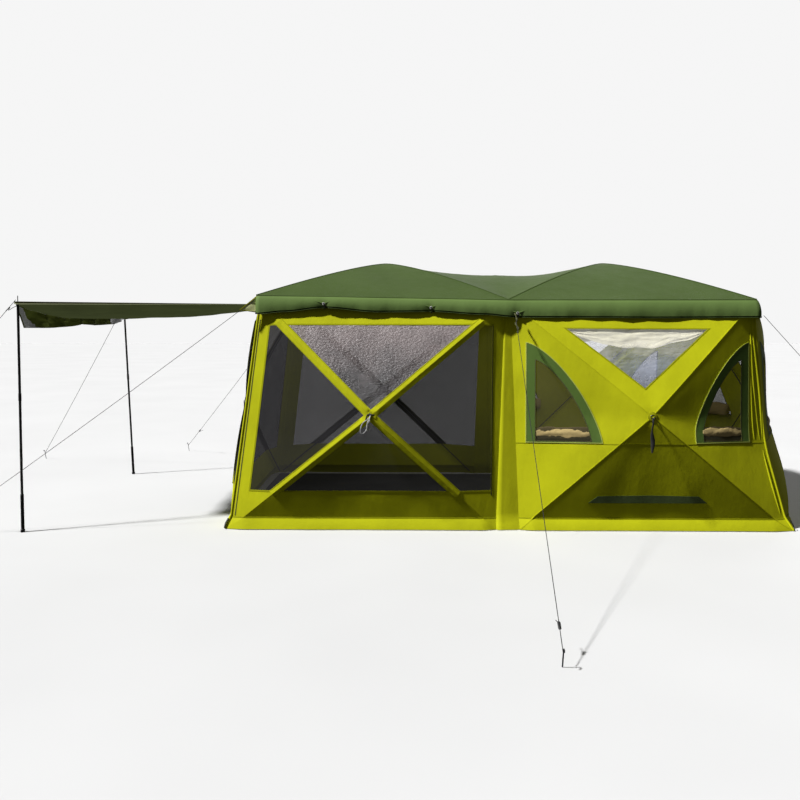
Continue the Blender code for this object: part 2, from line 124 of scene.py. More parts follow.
class Shader:
    """A Principled material with a few short calls for its texture nodes."""

    def __init__(self, name, roughness=0.7, metallic=0.0):
        self.mat = bpy.data.materials.new(name)
        self.mat.use_nodes = True
        self.nodes = self.mat.node_tree.nodes
        self.links = self.mat.node_tree.links
        self.bsdf = self.nodes["Principled BSDF"]
        self.bsdf.inputs["Roughness"].default_value = roughness
        self.bsdf.inputs["Metallic"].default_value = metallic
        self.place = self.nodes.new("ShaderNodeTexCoord").outputs["Object"]

    def set(self, **values):
        for key, value in values.items():
            self.bsdf.inputs[key.replace("_", " ")].default_value = value
        return self

    def link(self, output, socket):
        self.links.new(output, socket)

    def mapped(self, scale, turn=(0, 0, 0)):
        node = self.nodes.new("ShaderNodeMapping")
        node.inputs["Scale"].default_value = scale
        node.inputs["Rotation"].default_value = turn
        self.link(self.place, node.inputs["Vector"])
        return node.outputs["Vector"]

    def noise(self, scale, detail=3.0, roughness=0.55, stretch=(1, 1, 1)):
        node = self.nodes.new("ShaderNodeTexNoise")
        node.inputs["Scale"].default_value = scale
        node.inputs["Detail"].default_value = detail
        node.inputs["Roughness"].default_value = roughness
        self.link(self.mapped(stretch), node.inputs["Vector"])
        return node.outputs["Fac"]

    def wave(self, scale, axis, distortion=0.0):
        node = self.nodes.new("ShaderNodeTexWave")
        node.bands_direction = axis
        node.inputs["Scale"].default_value = scale
        node.inputs["Distortion"].default_value = distortion
        node.inputs["Detail"].default_value = 1.0
        self.link(self.place, node.inputs["Vector"])
        return node.outputs["Fac"]

    def math(self, operation, a, b):
        node = self.nodes.new("ShaderNodeMath")
        node.operation = operation
        for socket, value in zip(node.inputs, (a, b)):
            if isinstance(value, (int, float)):
                socket.default_value = value
            else:
                self.link(value, socket)
        return node.outputs["Value"]

    def ramp(self, factor, stops):
        node = self.nodes.new("ShaderNodeValToRGB")
        ramp = node.color_ramp
        while len(ramp.elements) < len(stops):
            ramp.elements.new(0.5)
        for element, (position, colour) in zip(ramp.elements, stops):
            element.position = position
            element.color = (*colour, 1.0)
        self.link(factor, node.inputs["Fac"])
        return node.outputs["Color"]

    def tint(self, factor, stops):
        """Colours the surface by a ramp over the factor."""
        colour = self.ramp(factor, stops)
        self.link(colour, self.bsdf.inputs["Base Color"])
        return colour

    def roughen(self, factor, low, high):
        self.link(self.range(factor, low, high), self.bsdf.inputs["Roughness"])

    def height(self, low, high):
        """0 at the low height and 1 at the high one."""
        split = self.nodes.new("ShaderNodeSeparateXYZ")
        self.link(self.place, split.inputs["Vector"])
        node = self.nodes.new("ShaderNodeMapRange")
        node.inputs["From Min"].default_value = low
        node.inputs["From Max"].default_value = high
        self.link(split.outputs["Z"], node.inputs["Value"])
        return node.outputs["Result"]

    def range(self, factor, low, high):
        node = self.nodes.new("ShaderNodeMapRange")
        node.inputs["To Min"].default_value = low
        node.inputs["To Max"].default_value = high
        self.link(factor, node.inputs["Value"])
        return node.outputs["Result"]

    def bump(self, height, strength, distance):
        node = self.nodes.new("ShaderNodeBump")
        node.inputs["Strength"].default_value = strength
        node.inputs["Distance"].default_value = distance
        self.link(height, node.inputs["Height"])
        before = self.bsdf.inputs["Normal"].links
        if before:
            self.link(before[0].from_socket, node.inputs["Normal"])
        self.link(node.outputs["Normal"], self.bsdf.inputs["Normal"])
        return self

    def weave(self, scale, strength):
        """Warp and weft threads, crossing in the three planes that the cloth lies near."""
        threads = self.math("MAXIMUM", self.wave(scale, "X"), self.wave(scale, "Z"))
        threads = self.math("MAXIMUM", threads, self.wave(scale, "Y"))
        return self.bump(threads, strength, 0.0006)


def shade(colour, factor):
    return tuple(c * factor for c in colour)


def cloth(name, colour, roughness=0.72, spread=0.16, weave=900.0, gloss=0.08, glow=0.0):
    """Coated polyester: faint cloudy colour, creases and a fine weave. glow is the light it lets through."""
    s = Shader(name, roughness)
    cloud = s.noise(2.3, 5.0, 0.6)
    stops = [(0.25, shade(colour, 1 - spread)), (0.5, colour), (0.78, shade(colour, 1 + spread))]
    tint = s.tint(cloud, stops)
    if glow:
        thin = s.nodes.new("ShaderNodeBsdfTranslucent")
        s.link(tint, thin.inputs["Color"])
        both = s.nodes.new("ShaderNodeMixShader")
        both.inputs["Fac"].default_value = glow
        s.link(s.bsdf.outputs["BSDF"], both.inputs[1])
        s.link(thin.outputs["BSDF"], both.inputs[2])
        s.link(both.outputs["Shader"], s.nodes["Material Output"].inputs["Surface"])
    s.roughen(s.noise(14.0, 2.0), roughness - 0.08, roughness + 0.08)
    s.set(Specular_IOR_Level=gloss)
    s.bump(s.noise(5.0, 4.0, 0.6, (1, 1, 0.35)), 0.25, 0.02)
    s.bump(s.noise(38.0, 3.0), 0.2, 0.003)
    return s.weave(weave, 0.25).mat


def screen(name, colour, low, high):
    """Fine insect netting: see-through, with threads close enough to read as a dark veil."""
    s = Shader(name, 0.9)
    cloud = s.noise(3.0, 3.0)
    s.tint(cloud, [(0.3, shade(colour, 0.85)), (0.75, shade(colour, 1.2))])
    threads = s.math("MAXIMUM", s.wave(420.0, "X"), s.wave(420.0, "Z"))
    s.link(s.range(threads, low, high), s.bsdf.inputs["Alpha"])
    s.bump(threads, 0.3, 0.0006)
    s.set(Specular_IOR_Level=0.1)
    return s.mat


def film(name, stops, span, alphas, crinkle, roughness):
    """Clear window film, cloudy and crinkled, that changes from its foot to its top (span, in metres)."""
    s = Shader(name, roughness)
    # the colour ramps up the film's height; for the screen and window films the lighter top is painted
    # reflection
    rise = s.height(*span)
    cloud = s.math("ADD", s.math("MULTIPLY", rise, 0.6), s.math("MULTIPLY", s.noise(6.0, 5.0, 0.65), 0.4))
    s.tint(cloud, stops)
    veil = s.math("ADD", s.range(rise, *alphas), s.range(s.noise(9.0, 4.0, 0.6), -0.08, 0.08))
    s.link(veil, s.bsdf.inputs["Alpha"])
    s.bump(s.noise(crinkle, 6.0, 0.7), 0.3, 0.004)
    s.bump(s.noise(crinkle * 1.6, 3.0, 0.6, (1, 1, 2.2)), 1.0, 0.010)
    s.set(Specular_IOR_Level=0.6, Coat_Weight=0.3, Coat_Roughness=0.15)
    return s.mat


def moulded(name, colour, roughness=0.45):
    """Moulded plastic with a light grain and rubbed high spots."""
    s = Shader(name, roughness)
    s.tint(s.noise(60.0, 4.0), [(0.35, shade(colour, 0.8)), (0.7, shade(colour, 1.3))])
    s.roughen(s.noise(25.0, 3.0), roughness - 0.1, roughness + 0.12)
    return s.bump(s.noise(700.0, 2.0), 0.15, 0.0005).mat


def metal(name, colour, roughness, metallic, wear):
    """Painted or plain steel, brushed along its length, with scuffs."""
    s = Shader(name, roughness, metallic)
    scuff = s.noise(30.0, 6.0, 0.7, (1, 1, 0.3))
    s.tint(scuff, [(0.3, colour), (0.62, shade(colour, 1.25)), (0.8, wear)])
    s.roughen(s.noise(90.0, 3.0, 0.6, (1, 1, 0.1)), roughness - 0.1, roughness + 0.15)
    return s.bump(s.noise(400.0, 2.0, 0.5, (1, 1, 0.05)), 0.1, 0.0004).mat


def twisted(name, colour, fleck):
    """Braided cord or webbing."""
    s = Shader(name, 0.8)
    braid = s.wave(260.0, "DIAGONAL", 1.5)
    s.tint(braid, [(0.2, shade(colour, 0.6)), (0.6, colour), (0.95, fleck)])
    return s.bump(braid, 0.6, 0.0008).mat


LIME = (0.51, 0.525, 0.008)
GREEN = (0.062, 0.096, 0.027)
MATS = {
    "lime": cloth("lime_cloth", LIME),
    "lime_hem": cloth("lime_hem_cloth", shade(LIME, 0.62), 0.8),
    "green": cloth("fly_cloth", GREEN, 0.62, 0.10),
    # painted light: the valance is the fly's own cloth with its colour raised 2.3 times, so that its steep
    # sides, which take less light, come out as bright as the fly's top
    "valance": cloth("fly_valance_cloth", shade(GREEN, 2.3), 0.62, 0.10),
    # painted shade: the hem is the fly's own cloth darkened to 0.6 for the dark shade line along the foot of
    # the valance
    "green_hem_painted_shade": cloth("fly_hem_painted_shade_cloth", shade(GREEN, 0.6), 0.7),
    "trim": cloth("window_trim_cloth", (0.090, 0.155, 0.032), 0.65, 0.12),
    "piping": cloth("piping_cloth", (0.40, 0.45, 0.09), 0.6),
    "tab": cloth("corner_tab_cloth", (0.82, 0.86, 0.42), 0.6),
    "awning": cloth("awning_cloth", (0.046, 0.056, 0.021), 0.85, 0.25, gloss=0.03, glow=0.5),
    "awning_flap": cloth("awning_flap_cloth", (0.038, 0.047, 0.009), 0.8, 0.55, gloss=0.05, glow=0.32),
    "awning_hem": cloth("awning_hem_cloth", (0.34, 0.36, 0.20), 0.7),
    # painted shade: the vent flap is a dark green for the shaded slot under the vent's lip
    "vent": cloth("vent_cloth", (0.088, 0.122, 0.045), 0.7),
    "roll": cloth("window_flap_cloth", (0.42, 0.32, 0.14), 0.8, 0.35),
    "cream": cloth("blind_cloth", (0.86, 0.82, 0.62), 0.55, 0.2),
    "floor": cloth("ground_cloth", (0.10, 0.10, 0.10), 0.8, 0.3),
    "flap_film": film(
        "flap_film",
        [(0.3, (0.010, 0.012, 0.018)), (0.6, (0.030, 0.034, 0.045)), (0.8, (0.09, 0.095, 0.12))],
        (1.5, 1.72), (0.95, 0.92), 30.0, 0.3,
    ),
    "web": twisted("black_webbing", (0.02, 0.02, 0.02), (0.05, 0.05, 0.05)),
    "cord": twisted("guy_cord", (0.008, 0.008, 0.008), (0.04, 0.04, 0.04)),
    "silver_cord": twisted("silver_cord", (0.55, 0.55, 0.53), (0.8, 0.8, 0.8)),
    "zip": twisted("zip_tape", (0.03, 0.035, 0.01), (0.15, 0.16, 0.03)),
    "screen": screen("screen_mesh", (0.022, 0.021, 0.023), 0.68, 0.84),
    "dense_screen": screen("dense_screen_mesh", (0.022, 0.021, 0.024), 0.86, 0.95),
    "window_mesh": screen("window_mesh", (0.045, 0.043, 0.026), 0.56, 0.74),
    # painted reflection: the film's colour lightens from near black to a pale pink-grey towards its top
    "film": film(
        "screen_film",
        [(0.15, (0.028, 0.026, 0.028)), (0.42, (0.055, 0.049, 0.051)), (0.8, (0.33, 0.275, 0.27))],
        (0.9, 1.55), (0.72, 0.86), 30.0, 0.35,
    ),
    # painted reflection: the clear film turns pale blue-white towards its top
    "pvc_painted_reflection": film(
        "window_film",
        [
            (0.25, (0.20, 0.23, 0.31)), (0.42, (0.39, 0.44, 0.57)), (0.55, (0.50, 0.54, 0.66)),
            (0.6, (0.86, 0.87, 0.92)),
        ],
        (1.08, 1.52), (0.66, 0.16), 9.0, 0.12,
    ),
    "fibre": moulded("glass_fibre", (0.02, 0.02, 0.02), 0.35),
    "hub": moulded("hub_plastic", (0.015, 0.015, 0.015)),
    "ring": moulded("white_plastic", (0.75, 0.75, 0.72), 0.3),
    "steel": metal("black_steel", (0.014, 0.014, 0.015), 0.4, 0.7, (0.12, 0.12, 0.12)),
    "peg": metal("peg_steel", (0.10, 0.10, 0.11), 0.35, 1.0, (0.3, 0.3, 0.3)),
}
SLOT_KEYS = {
    "lime_cloth": ("lime", "lime_hem", "piping"),
    "fly_cloth": ("green", "valance", "green_hem_painted_shade", "trim", "vent"),
    "awning_cloth": ("awning", "awning_flap", "awning_hem"),
    "ground_cloth": ("roll", "cream", "floor"),
    "webbing": ("tab", "web", "zip"),
    "guy_cord": ("cord", "silver_cord"),
    "screen_mesh": ("screen", "dense_screen", "window_mesh"),
    "window_film": ("film", "pvc_painted_reflection", "flap_film"),
    "glass_fibre": ("fibre",),
    "hub_plastic": ("hub",),
    "white_plastic": ("ring",),
    "black_steel": ("steel",),
    "peg_steel": ("peg",),
}
SLOTS = {key: slot for slot, keys in SLOT_KEYS.items() for key in keys}


def dress(node, key):
    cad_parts[node].data.materials.clear()
    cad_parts[node].data.materials.append(MATS[key])


# ---------------------------------------------------------------- mesh helpers


def new_mesh(name, points, faces, key, body=None):
    """A smooth piece of one material. It rides on body, if one is given."""
    mesh = bpy.data.meshes.new(name)
    mesh.from_pydata([tuple(p) for p in points], [], faces)
    mesh.validate()
    mesh.shade_smooth()
    mesh.materials.append(MATS[key])
    obj = add_object(name, mesh)
    obj.cycles.shadow_terminator_geometry_offset = 0.15  # no stepped shadows on the bowed facets
    if body:
        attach(obj, body)
    return obj


def grid_faces(rows, columns):
    """The quads of a grid of points that is stored row by row."""
    width = columns + 1
    corners = [r * width + c for r in range(rows) for c in range(columns)]
    return [(a, a + 1, a + 1 + width, a + width) for a in corners]


def tube_faces(rings, sides):
    """The quads between rings of points that are stored ring by ring."""
    faces = []
    for first in range(0, (rings - 1) * sides, sides):
        for k in range(sides):
            a, b = first + k, first + (k + 1) % sides
            faces.append((a, a + sides, b + sides, b))
    return faces


def triangle_mesh(name, rows, place, key, body=None):
    """A triangular piece. place(outward, across) gives a point: outward 0 at its tip, 1 at its far side."""
    points, faces, index = [], [], {}
    for r in range(rows + 1):
        for c in range(r + 1):
            index[r, c] = len(points)
            points.append(place(r / rows, c / r if r else 0.5))
    for r in range(rows):
        for c in range(r + 1):
            faces.append((index[r, c], index[r + 1, c], index[r + 1, c + 1]))
            if c < r:
                faces.append((index[r, c], index[r + 1, c + 1], index[r, c + 1]))
    return new_mesh(name, points, faces, key, body)


def eased(stops, x):
    """The value at x between (x, value) stops, level at every stop."""
    for (x0, z0), (x1, z1) in zip(stops, stops[1:]):
        if x <= x1:
            part = max(0.0, (x - x0) / (x1 - x0))
            return z0 + (z1 - z0) * (3 * part**2 - 2 * part**3)
    return stops[-1][1]


def smooth_path(points, steps=6):
    """Points on a Catmull-Rom curve through the given ones."""
    points = [Vector(p) for p in points]
    padded = [points[0] * 2 - points[1], *points, points[-1] * 2 - points[-2]]
    path = []
    for a, b, c, d in zip(padded, padded[1:], padded[2:], padded[3:]):
        for i in range(steps):
            t = i / steps
            bend, twist = 2 * a - 5 * b + 4 * c - d, 3 * b - a - 3 * c + d
            path.append(0.5 * (2 * b + (c - a) * t + bend * t**2 + twist * t**3))
    return [*path, points[-1]]


def sweep(name, path, section, key, up=UP, closed=False, scale=None, body="root"):
    """A closed solid: a section (across, up) carried along a path. body None leaves it on no body."""
    points = []
    faces = []
    count = len(section)
    for i, here in enumerate(path):
        before = path[i - 1] if i or closed else here
        after = path[(i + 1) % len(path)] if i + 1 < len(path) or closed else here
        along = (after - before).normalized()
        side = along.cross(up).normalized()
        lift = side.cross(along)
        size = scale(i / (len(path) - 1)) if scale else 1.0
        points += [here + (side * x + lift * y) * size for x, y in section]
    for r in range(len(path) if closed else len(path) - 1):
        for k in range(count):
            a, b = r * count + k, r * count + (k + 1) % count
            shift = count if r + 1 < len(path) else -r * count
            faces.append((a, b, b + shift, a + shift))
    if not closed:
        faces.append(tuple(reversed(range(count))))
        faces.append(tuple(range((len(path) - 1) * count, len(path) * count)))
    obj = new_mesh(name, points, faces, key, body)
    obj.data.set_sharp_from_angle(angle=math.radians(50))
    return obj


def round_section(radius, sides=8):
    turns = [2 * math.pi * k / sides for k in range(sides)]
    return [(radius * math.cos(t), radius * math.sin(t)) for t in turns]


def flat_section(width, thickness):
    """A strap's section, with its long edges rounded off."""
    w, t = width / 2, thickness / 2
    return [(-w, 0), (-w + t, -t), (w - t, -t), (w, 0), (w - t, t), (-w + t, t)]


def circle(centre, first, second, count):
    """Points around a circle. first and second are two of its radii."""
    turns = [2 * math.pi * k / count for k in range(count)]
    return [centre + first * math.cos(t) + second * math.sin(t) for t in turns]


def declare_sheet(piece):
    """Works out a cloth piece's area and width from its finished surface, which is not a cutting pattern.

    The area is the mesh's own, with the rims of raised pieces. The width is the middle side of
    the piece's box, kept between once and twice the mean width (area / length). For most pieces
    that limit decides, so their width is not that of a real cut. The numbers are not kept:
    nothing is declared, and a piece whose width comes out below 1 cm only returns early. Seams with a
    mean width below about 3 mm get no row.
    """
    area = sum(p.area for p in piece.data.polygons)
    low = Vector(map(min, *[v.co for v in piece.data.vertices]))
    high = Vector(map(max, *[v.co for v in piece.data.vertices]))
    sides = sorted(high - low)
    length = max(sides[2], 0.02)
    width = max(min(sides[1], area / (0.5 * length)), area / length * 1.01, 0.0101)
    if area < 0.3 * width * length:
        width = area / (0.7 * length)
    if width < 0.01:
        return


# ---------------------------------------------------------------- guy lines


def outward(start, foot):
    """The level direction from a line's start to its foot."""
    return Vector((foot.x - start.x, foot.y - start.y, 0)).normalized()


def guy_line(name, start, foot):
    """A taut line from the tent to its peg, on the route of its CAD tube."""
    start, foot = Vector(start), Vector(foot)
    end = foot + outward(start, foot) * PEG_LEAN + UP * PEG_HEAD
    route = []
    for i in range(CORD_POINTS):
        part = i / (CORD_POINTS - 1)
        route.append(start.lerp(end, part) - UP * (CORD_SAG * 4 * part * (1 - part)))
    curve = bpy.data.curves.new(name, "CURVE")
    curve.dimensions = "3D"
    curve.bevel_depth = CORD_RADIUS
    curve.bevel_resolution = 3
    curve.use_fill_caps = True
    spline = curve.splines.new("POLY")
    spline.points.add(CORD_POINTS - 1)
    for point, place in zip(spline.points, route):
        point.co = (*place, 1.0)
    curve.materials.append(MATS["cord"])
    cord = add_object(f"{name}_cord", curve)
    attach(cord, "root")
    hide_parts(name)
    length = sum((b - a).length for a, b in zip(route, route[1:]))
    return cord, route, length


def tensioner(name, route, distance):
    """The moulded slider on a guy line, with the line's tail doubled back through it."""
    back = (route[-2] - route[-1]).normalized()
    at = route[-1]
    for here, further in zip(route[::-1], route[-2::-1]):
        step = (further - here).length
        if distance <= step:
            at = here.lerp(further, distance / step)
            break
        distance -= step
    side = back.cross(-UP).normalized()
    low = side.cross(back)
    bar = sweep(
        f"{name}_bar", [at + back * reach for reach in (-0.022, -0.018, 0.018, 0.022)],
        flat_section(0.016, 0.006), "hub", up=low, scale=lambda t: 0.8 if t in (0, 1) else 1.0,
    )
    tail = smooth_path([
        at + back * 0.02 + low * 0.004, at - back * 0.005 + low * 0.009, at + back * 0.03 + low * 0.02,
        at + back * 0.055 + low * 0.03 + side * 0.008,
    ], 4)
    return [bar, sweep(f"{name}_tail", tail, round_section(0.002, 6), "cord", up=side)]


GUYS = {
    "guy_front_middle": ((0.05, -1.063, 1.628), (-0.04, -3.62, 0.0), "peg_front_middle"),
    "guy_front_left": ((-1.945, -1.026, 1.750), (-4.20, -1.37, 0.0), "peg_front_left"),
    "guy_front_right": ((1.916, -1.066, 1.632), (3.10, -1.75, 0.0), None),
    "guy_back_left": ((-1.945, 1.026, 1.750), (-3.50, 2.60, 0.0), "peg_back_left"),
    "guy_awning_front": ((-3.712, -1.166, 1.750), (-5.00, -1.66, 0.0), "peg_awning_front"),
    "guy_awning_back": ((-3.747, 1.166, 1.750), (-5.01, 2.00, 0.0), "peg_awning_back"),
}


def hook_peg(name, start, foot):
    """A round-wire peg with its hook turned over, like the CAD ones."""
    start, foot = Vector(start), Vector(foot)
    out = outward(start, foot)
    bend = foot + out * 0.025 + UP * 0.088
    path = [foot + UP * 0.001, bend]
    for i in range(1, 7):
        turn = math.pi * i / 6
        path.append(bend + (out * (1 - math.cos(turn)) + UP * math.sin(turn)) * 0.012)
    return sweep(name, path, round_section(0.0035), "peg", up=out.cross(UP))


for guy_name, (guy_start, guy_foot, guy_peg) in GUYS.items():
    guy_cord, guy_route, guy_length = guy_line(guy_name, guy_start, guy_foot)
    if guy_peg:
        dress(guy_peg, "peg")
        peg_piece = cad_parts[guy_peg]
    else:
        peg_piece = hook_peg("peg_front_right", guy_start, guy_foot)
    slider_at = 0.15 if guy_name == "guy_front_middle" else 0.35  # from the peg
    if guy_name.startswith("guy_awning"):
        slider_at = guy_length - 0.09
    slider = tensioner(f"{guy_name}_slider", guy_route, slider_at)
    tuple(guy_start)

# ---------------------------------------------------------------- hub panels


def cross(a, b, p):
    """Twice the area of the triangle a, b, p."""
    return (b[0] - a[0]) * (p[1] - a[1]) - (b[1] - a[1]) * (p[0] - a[0])


def dense(points, step, closed=True):
    """The same outline with a point at least every step."""
    out = []
    pairs = zip(points, points[1:] + points[:1]) if closed else zip(points, points[1:])
    for a, b in pairs:
        count = max(1, math.ceil(math.dist(a, b) / step - 1e-6))
        out += [(a[0] + (b[0] - a[0]) * i / count, a[1] + (b[1] - a[1]) * i / count) for i in range(count)]
    return out if closed else [*out, tuple(points[-1])]


FACETS = ("bottom", "right", "top", "left")


def waist_rise(height):
    """The waist seam's pull on a tent corner: about 1 at the seam, 0 at the foot and the eave."""
    rise = height / WAIST if height < WAIST else (EAVE_HEIGHT - height) / (EAVE_HEIGHT - WAIST)
    rounding = 0.07 * math.exp(-(((height - WAIST) / 0.06) ** 2))
    return max(0.0, rise - rounding)


def flare(v):
    """How far the skirt stands out below its seam."""
    return SKIRT_FLARE * (1 - min(1.0, max(0.0, v) / SKIRT) ** 1.3)


class Panel:
    """A hub panel. Its flat coordinates are (u, v): u to the right seen from outside, v the height."""

    def __init__(self, name, origin, across, upward, corners, pop, bow, seed, pulls=None):
        self.name = name
        self.pulls = pulls or {}
        self.origin, self.across, self.upward = Vector(origin), Vector(across), Vector(upward)
        self.corners = corners
        self.pop, self.bow, self.seed = pop, bow, seed
        self.normal = self.across.cross(self.upward).normalized()
        self.centre = (sum(c[0] for c in corners) / 4, sum(c[1] for c in corners) / 4)
        self.body = f"{name}_hub"
        self.outer_ends = [u for u, v in corners[:2] if abs(u) > 1]  # the ends that are corners of the tent

    def plane(self, u, v):
        return self.origin + self.across * u + self.upward * v

    def edge(self, k):
        return self.corners[k], self.corners[(k + 1) % 4]

    def shares(self, u, v):
        """For each outline edge, 1 on the edge and 0 at the hub."""
        out = []
        for k in range(4):
            a, b = self.edge(k)
            out.append(1 - cross(a, b, (u, v)) / cross(a, b, self.centre))
        return out

    def lift(self, u, v):
        shares = self.shares(u, v)
        share = min(1.0, max(shares))
        rise = self.pop * (1 - max(share, APEX_SHARE) ** self.bow)
        second = sorted(shares)[-2]
        slack = max(0.0, min(1.0, (share - second) / max(share, 0.05)))  # 0 on a pole, 1 between two
        sway = noise.noise(Vector((u * 1.7, v * 1.7, self.seed))) * 0.010
        sway += noise.noise(Vector((u * 5.5, v * 3.5, self.seed + 7))) * 0.004
        pull = 4 * share * (1 - share) * min(1.0, slack * 1.6)
        return rise + (sway - DISH * slack) * pull

    def offset(self, u, v):
        if v >= SKIRT:
            return self.lift(u, v)
        a, b = self.corners[0][0], self.corners[1][0]
        ends = min(1.0, max(0.0, min(u - a, b - u)) / 0.25)
        ripple = 1 + 0.18 * ends * noise.noise(Vector((u * 3.1, self.seed, 2.0)))
        return self.lift(u, SKIRT) + flare(v) * ripple

    def spread(self, u, v):
        """The skirt's mitre: it stands out sideways too at the corners of the tent."""
        shift = 0.0
        for end in self.outer_ends:
            shift += math.copysign(flare(v), end) * max(0.0, 1 - abs(end - u) / 0.12)
        return shift

    def drawn_in(self, u, v):
        """How far the waist seam pulls a point in, where this panel ends on a right-hand corner."""
        shares = self.shares(u, v)
        share = max(shares)
        facet = shares.index(share)
        if facet not in self.pulls or share < 0.01:
            return Vector((0, 0, 0))
        height = self.centre[1] + (v - self.centre[1]) / share
        return self.pulls[facet] * (waist_rise(height) * min(1.0, share))

    def point(self, u, v, out=0.0):
        place = self.plane(u + self.spread(u, v), v) + self.drawn_in(u, v)
        return place + self.normal * (self.offset(u, v) + out)

    def blend(self, piece, facet):
        """Bakes the piece's transform into its mesh. It works out the facet's frame edge and the hub's place
        but does nothing with them.
        """
        a, b = (self.plane(*c) for c in self.edge(facet))
        centre = self.plane(*self.centre)
        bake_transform(piece)

    def cells(self, regions, step, cut=()):
        """Triangles over the panel, as (facet, numbers of the regions it is in, three (u, v) points).

        regions are closed outlines, a later one over an earlier one; cut are open lines to follow."""
        verts, edges, faces = [], [], []

        def add_loop(points):
            first = len(verts)
            verts.extend(Vector(p) for p in points)
            faces.append(list(range(first, len(verts))))

        for k in range(4):
            a, b = self.edge(k)
            add_loop(dense([a, b, self.centre], step))
        for region in regions:
            add_loop(dense(region, step))
        for line in cut:
            first = len(verts)
            verts.extend(Vector(p) for p in dense(line, step, closed=False))
            edges += [(i, i + 1) for i in range(first, len(verts) - 1)]
        tree = KDTree(len(verts))
        for i, p in enumerate(verts):
            tree.insert((*p, 0), i)
        tree.balance()
        us = [c[0] for c in self.corners]
        vs = [c[1] for c in self.corners]
        rows = int((max(vs) - min(vs)) / (step * 0.87)) + 1
        for r in range(rows):
            v = min(vs) + step * 0.87 * (r + 0.5)
            columns = int((max(us) - min(us)) / step) + 1
            for c in range(columns):
                u = min(us) + step * (c + (0.5 if r % 2 else 0.0))
                if max(self.shares(u, v)) < 1 and tree.find((u, v, 0))[2] > step * 0.45:
                    verts.append(Vector((u, v)))
        out_verts, _, out_faces, _, _, origins = delaunay_2d_cdt(verts, edges, faces, 0, 1e-6)
        cells = []
        for face, origin in zip(out_faces, origins):
            facets = [i for i in origin if i < 4]
            if not facets:
                continue
            inside = [i - 4 for i in origin if i >= 4]
            cells.append((facets[0], inside, [tuple(out_verts[i]) for i in face]))
        return cells

    def build(self, name, cells, key, height=lambda u, v: 0.0, walls=False, held="stretched"):
        """Makes one piece for each facet that the cells touch, with its transform baked. walls closes a
        raised piece's rim.
        """
        made = []
        for facet in range(4):
            own = [tri for f, tri in cells if f == facet]
            if not own:
                continue
            index, points, faces, sides = {}, [], [], {}
            for tri in own:
                corner = []
                for p in tri:
                    spot = (round(p[0], 6), round(p[1], 6))
                    if spot not in index:
                        index[spot] = len(points)
                        points.append(self.point(*p, height(*p)))
                    corner.append(index[spot])
                if len(set(corner)) < 3:
                    continue
                faces.append(tuple(corner))
                for a, b in zip(corner, corner[1:] + corner[:1]):
                    sides[(a, b)] = True
            if walls:
                spots = {i: spot for spot, i in index.items()}
                low = {}
                rim = [(a, b) for a, b in sides if (b, a) not in sides]
                for a, b in rim:
                    for i in (a, b):
                        if i not in low:
                            low[i] = len(points)
                            points.append(self.point(*spots[i], -0.0005))
                    faces.append((b, a, low[a], low[b]))
            piece = new_mesh(f"{self.name}_{name}_{FACETS[facet]}", points, faces, key)
            piece.data.set_sharp_from_angle(angle=math.radians(60 if walls else 16))
            self.blend(piece, facet)
            made.append(piece)
            declare_sheet(piece)
        return made


LEAN_Y = (BASE_HALF_DEPTH - EAVE_HALF_DEPTH) / EAVE_HEIGHT
LEAN_LEFT = (BASE_HALF_WIDTH - EAVE_HALF_WIDTH) / EAVE_HEIGHT
LEAN_RIGHT = (BASE_HALF_WIDTH - EAVE_HALF_WIDTH_RIGHT) / EAVE_HEIGHT


def outline_of(inner_sign, eave):
    """A long wall panel's corners in its own (u, v), with its inner edge at the strip between the rooms."""
    if inner_sign < 0:
        return [(PILLAR_FOOT, 0), (BASE_HALF_WIDTH, 0), (eave, EAVE_HEIGHT), (PILLAR_TOP, EAVE_HEIGHT)]
    return [(-BASE_HALF_WIDTH, 0), (-PILLAR_FOOT, 0), (-PILLAR_TOP, EAVE_HEIGHT), (-eave, EAVE_HEIGHT)]


END_OUTLINE = [
    (-END_BASE_HALF, 0), (END_BASE_HALF, 0), (END_EAVE_HALF, EAVE_HEIGHT), (-END_EAVE_HALF, EAVE_HEIGHT),
]
FRONT = ((0, -BASE_HALF_DEPTH, 0), (1, 0, 0), (0, LEAN_Y, 1))
BACK = ((0, BASE_HALF_DEPTH, 0), (-1, 0, 0), (0, -LEAN_Y, 1))
LEFT = ((-BASE_HALF_WIDTH, 0, 0), (0, -1, 0), (LEAN_LEFT, 0, 1))
RIGHT = ((BASE_HALF_WIDTH, 0, 0), (0, 1, 0), (-LEAN_RIGHT, 0, 1))
PULL_FRONT = Vector((-WAIST_PULL.x, WAIST_PULL.y, 0))
PULL_BACK = Vector((-WAIST_PULL.x, -WAIST_PULL.y, 0))
front_a = Panel("front_a", *FRONT, outline_of(1, EAVE_HALF_WIDTH), LONG_POP, LONG_BOW, 1.0)
front_b = Panel(
    "front_b", *FRONT, outline_of(-1, EAVE_HALF_WIDTH_RIGHT), LONG_POP, LONG_BOW, 2.0, {1: PULL_FRONT}
)
back_a = Panel("back_a", *BACK, outline_of(-1, EAVE_HALF_WIDTH), LONG_POP, LONG_BOW, 3.0)
back_b = Panel(
    "back_b", *BACK, outline_of(1, EAVE_HALF_WIDTH_RIGHT), LONG_POP, LONG_BOW, 4.0, {3: PULL_BACK}
)
left = Panel("left", *LEFT, END_OUTLINE, LEFT_POP, LEFT_BOW, 5.0)
right = Panel("right", *RIGHT, END_OUTLINE, RIGHT_POP, RIGHT_BOW, 6.0, {1: PULL_BACK, 3: PULL_FRONT})

BAND_HALF = 0.034


def strip(a, b, along, half):
    """The outline of a strip from a to b, half wide on either side."""
    side = Vector((-along.y, along.x)) * half
    return [tuple(a - side), tuple(b - side), tuple(b + side), tuple(a + side)]


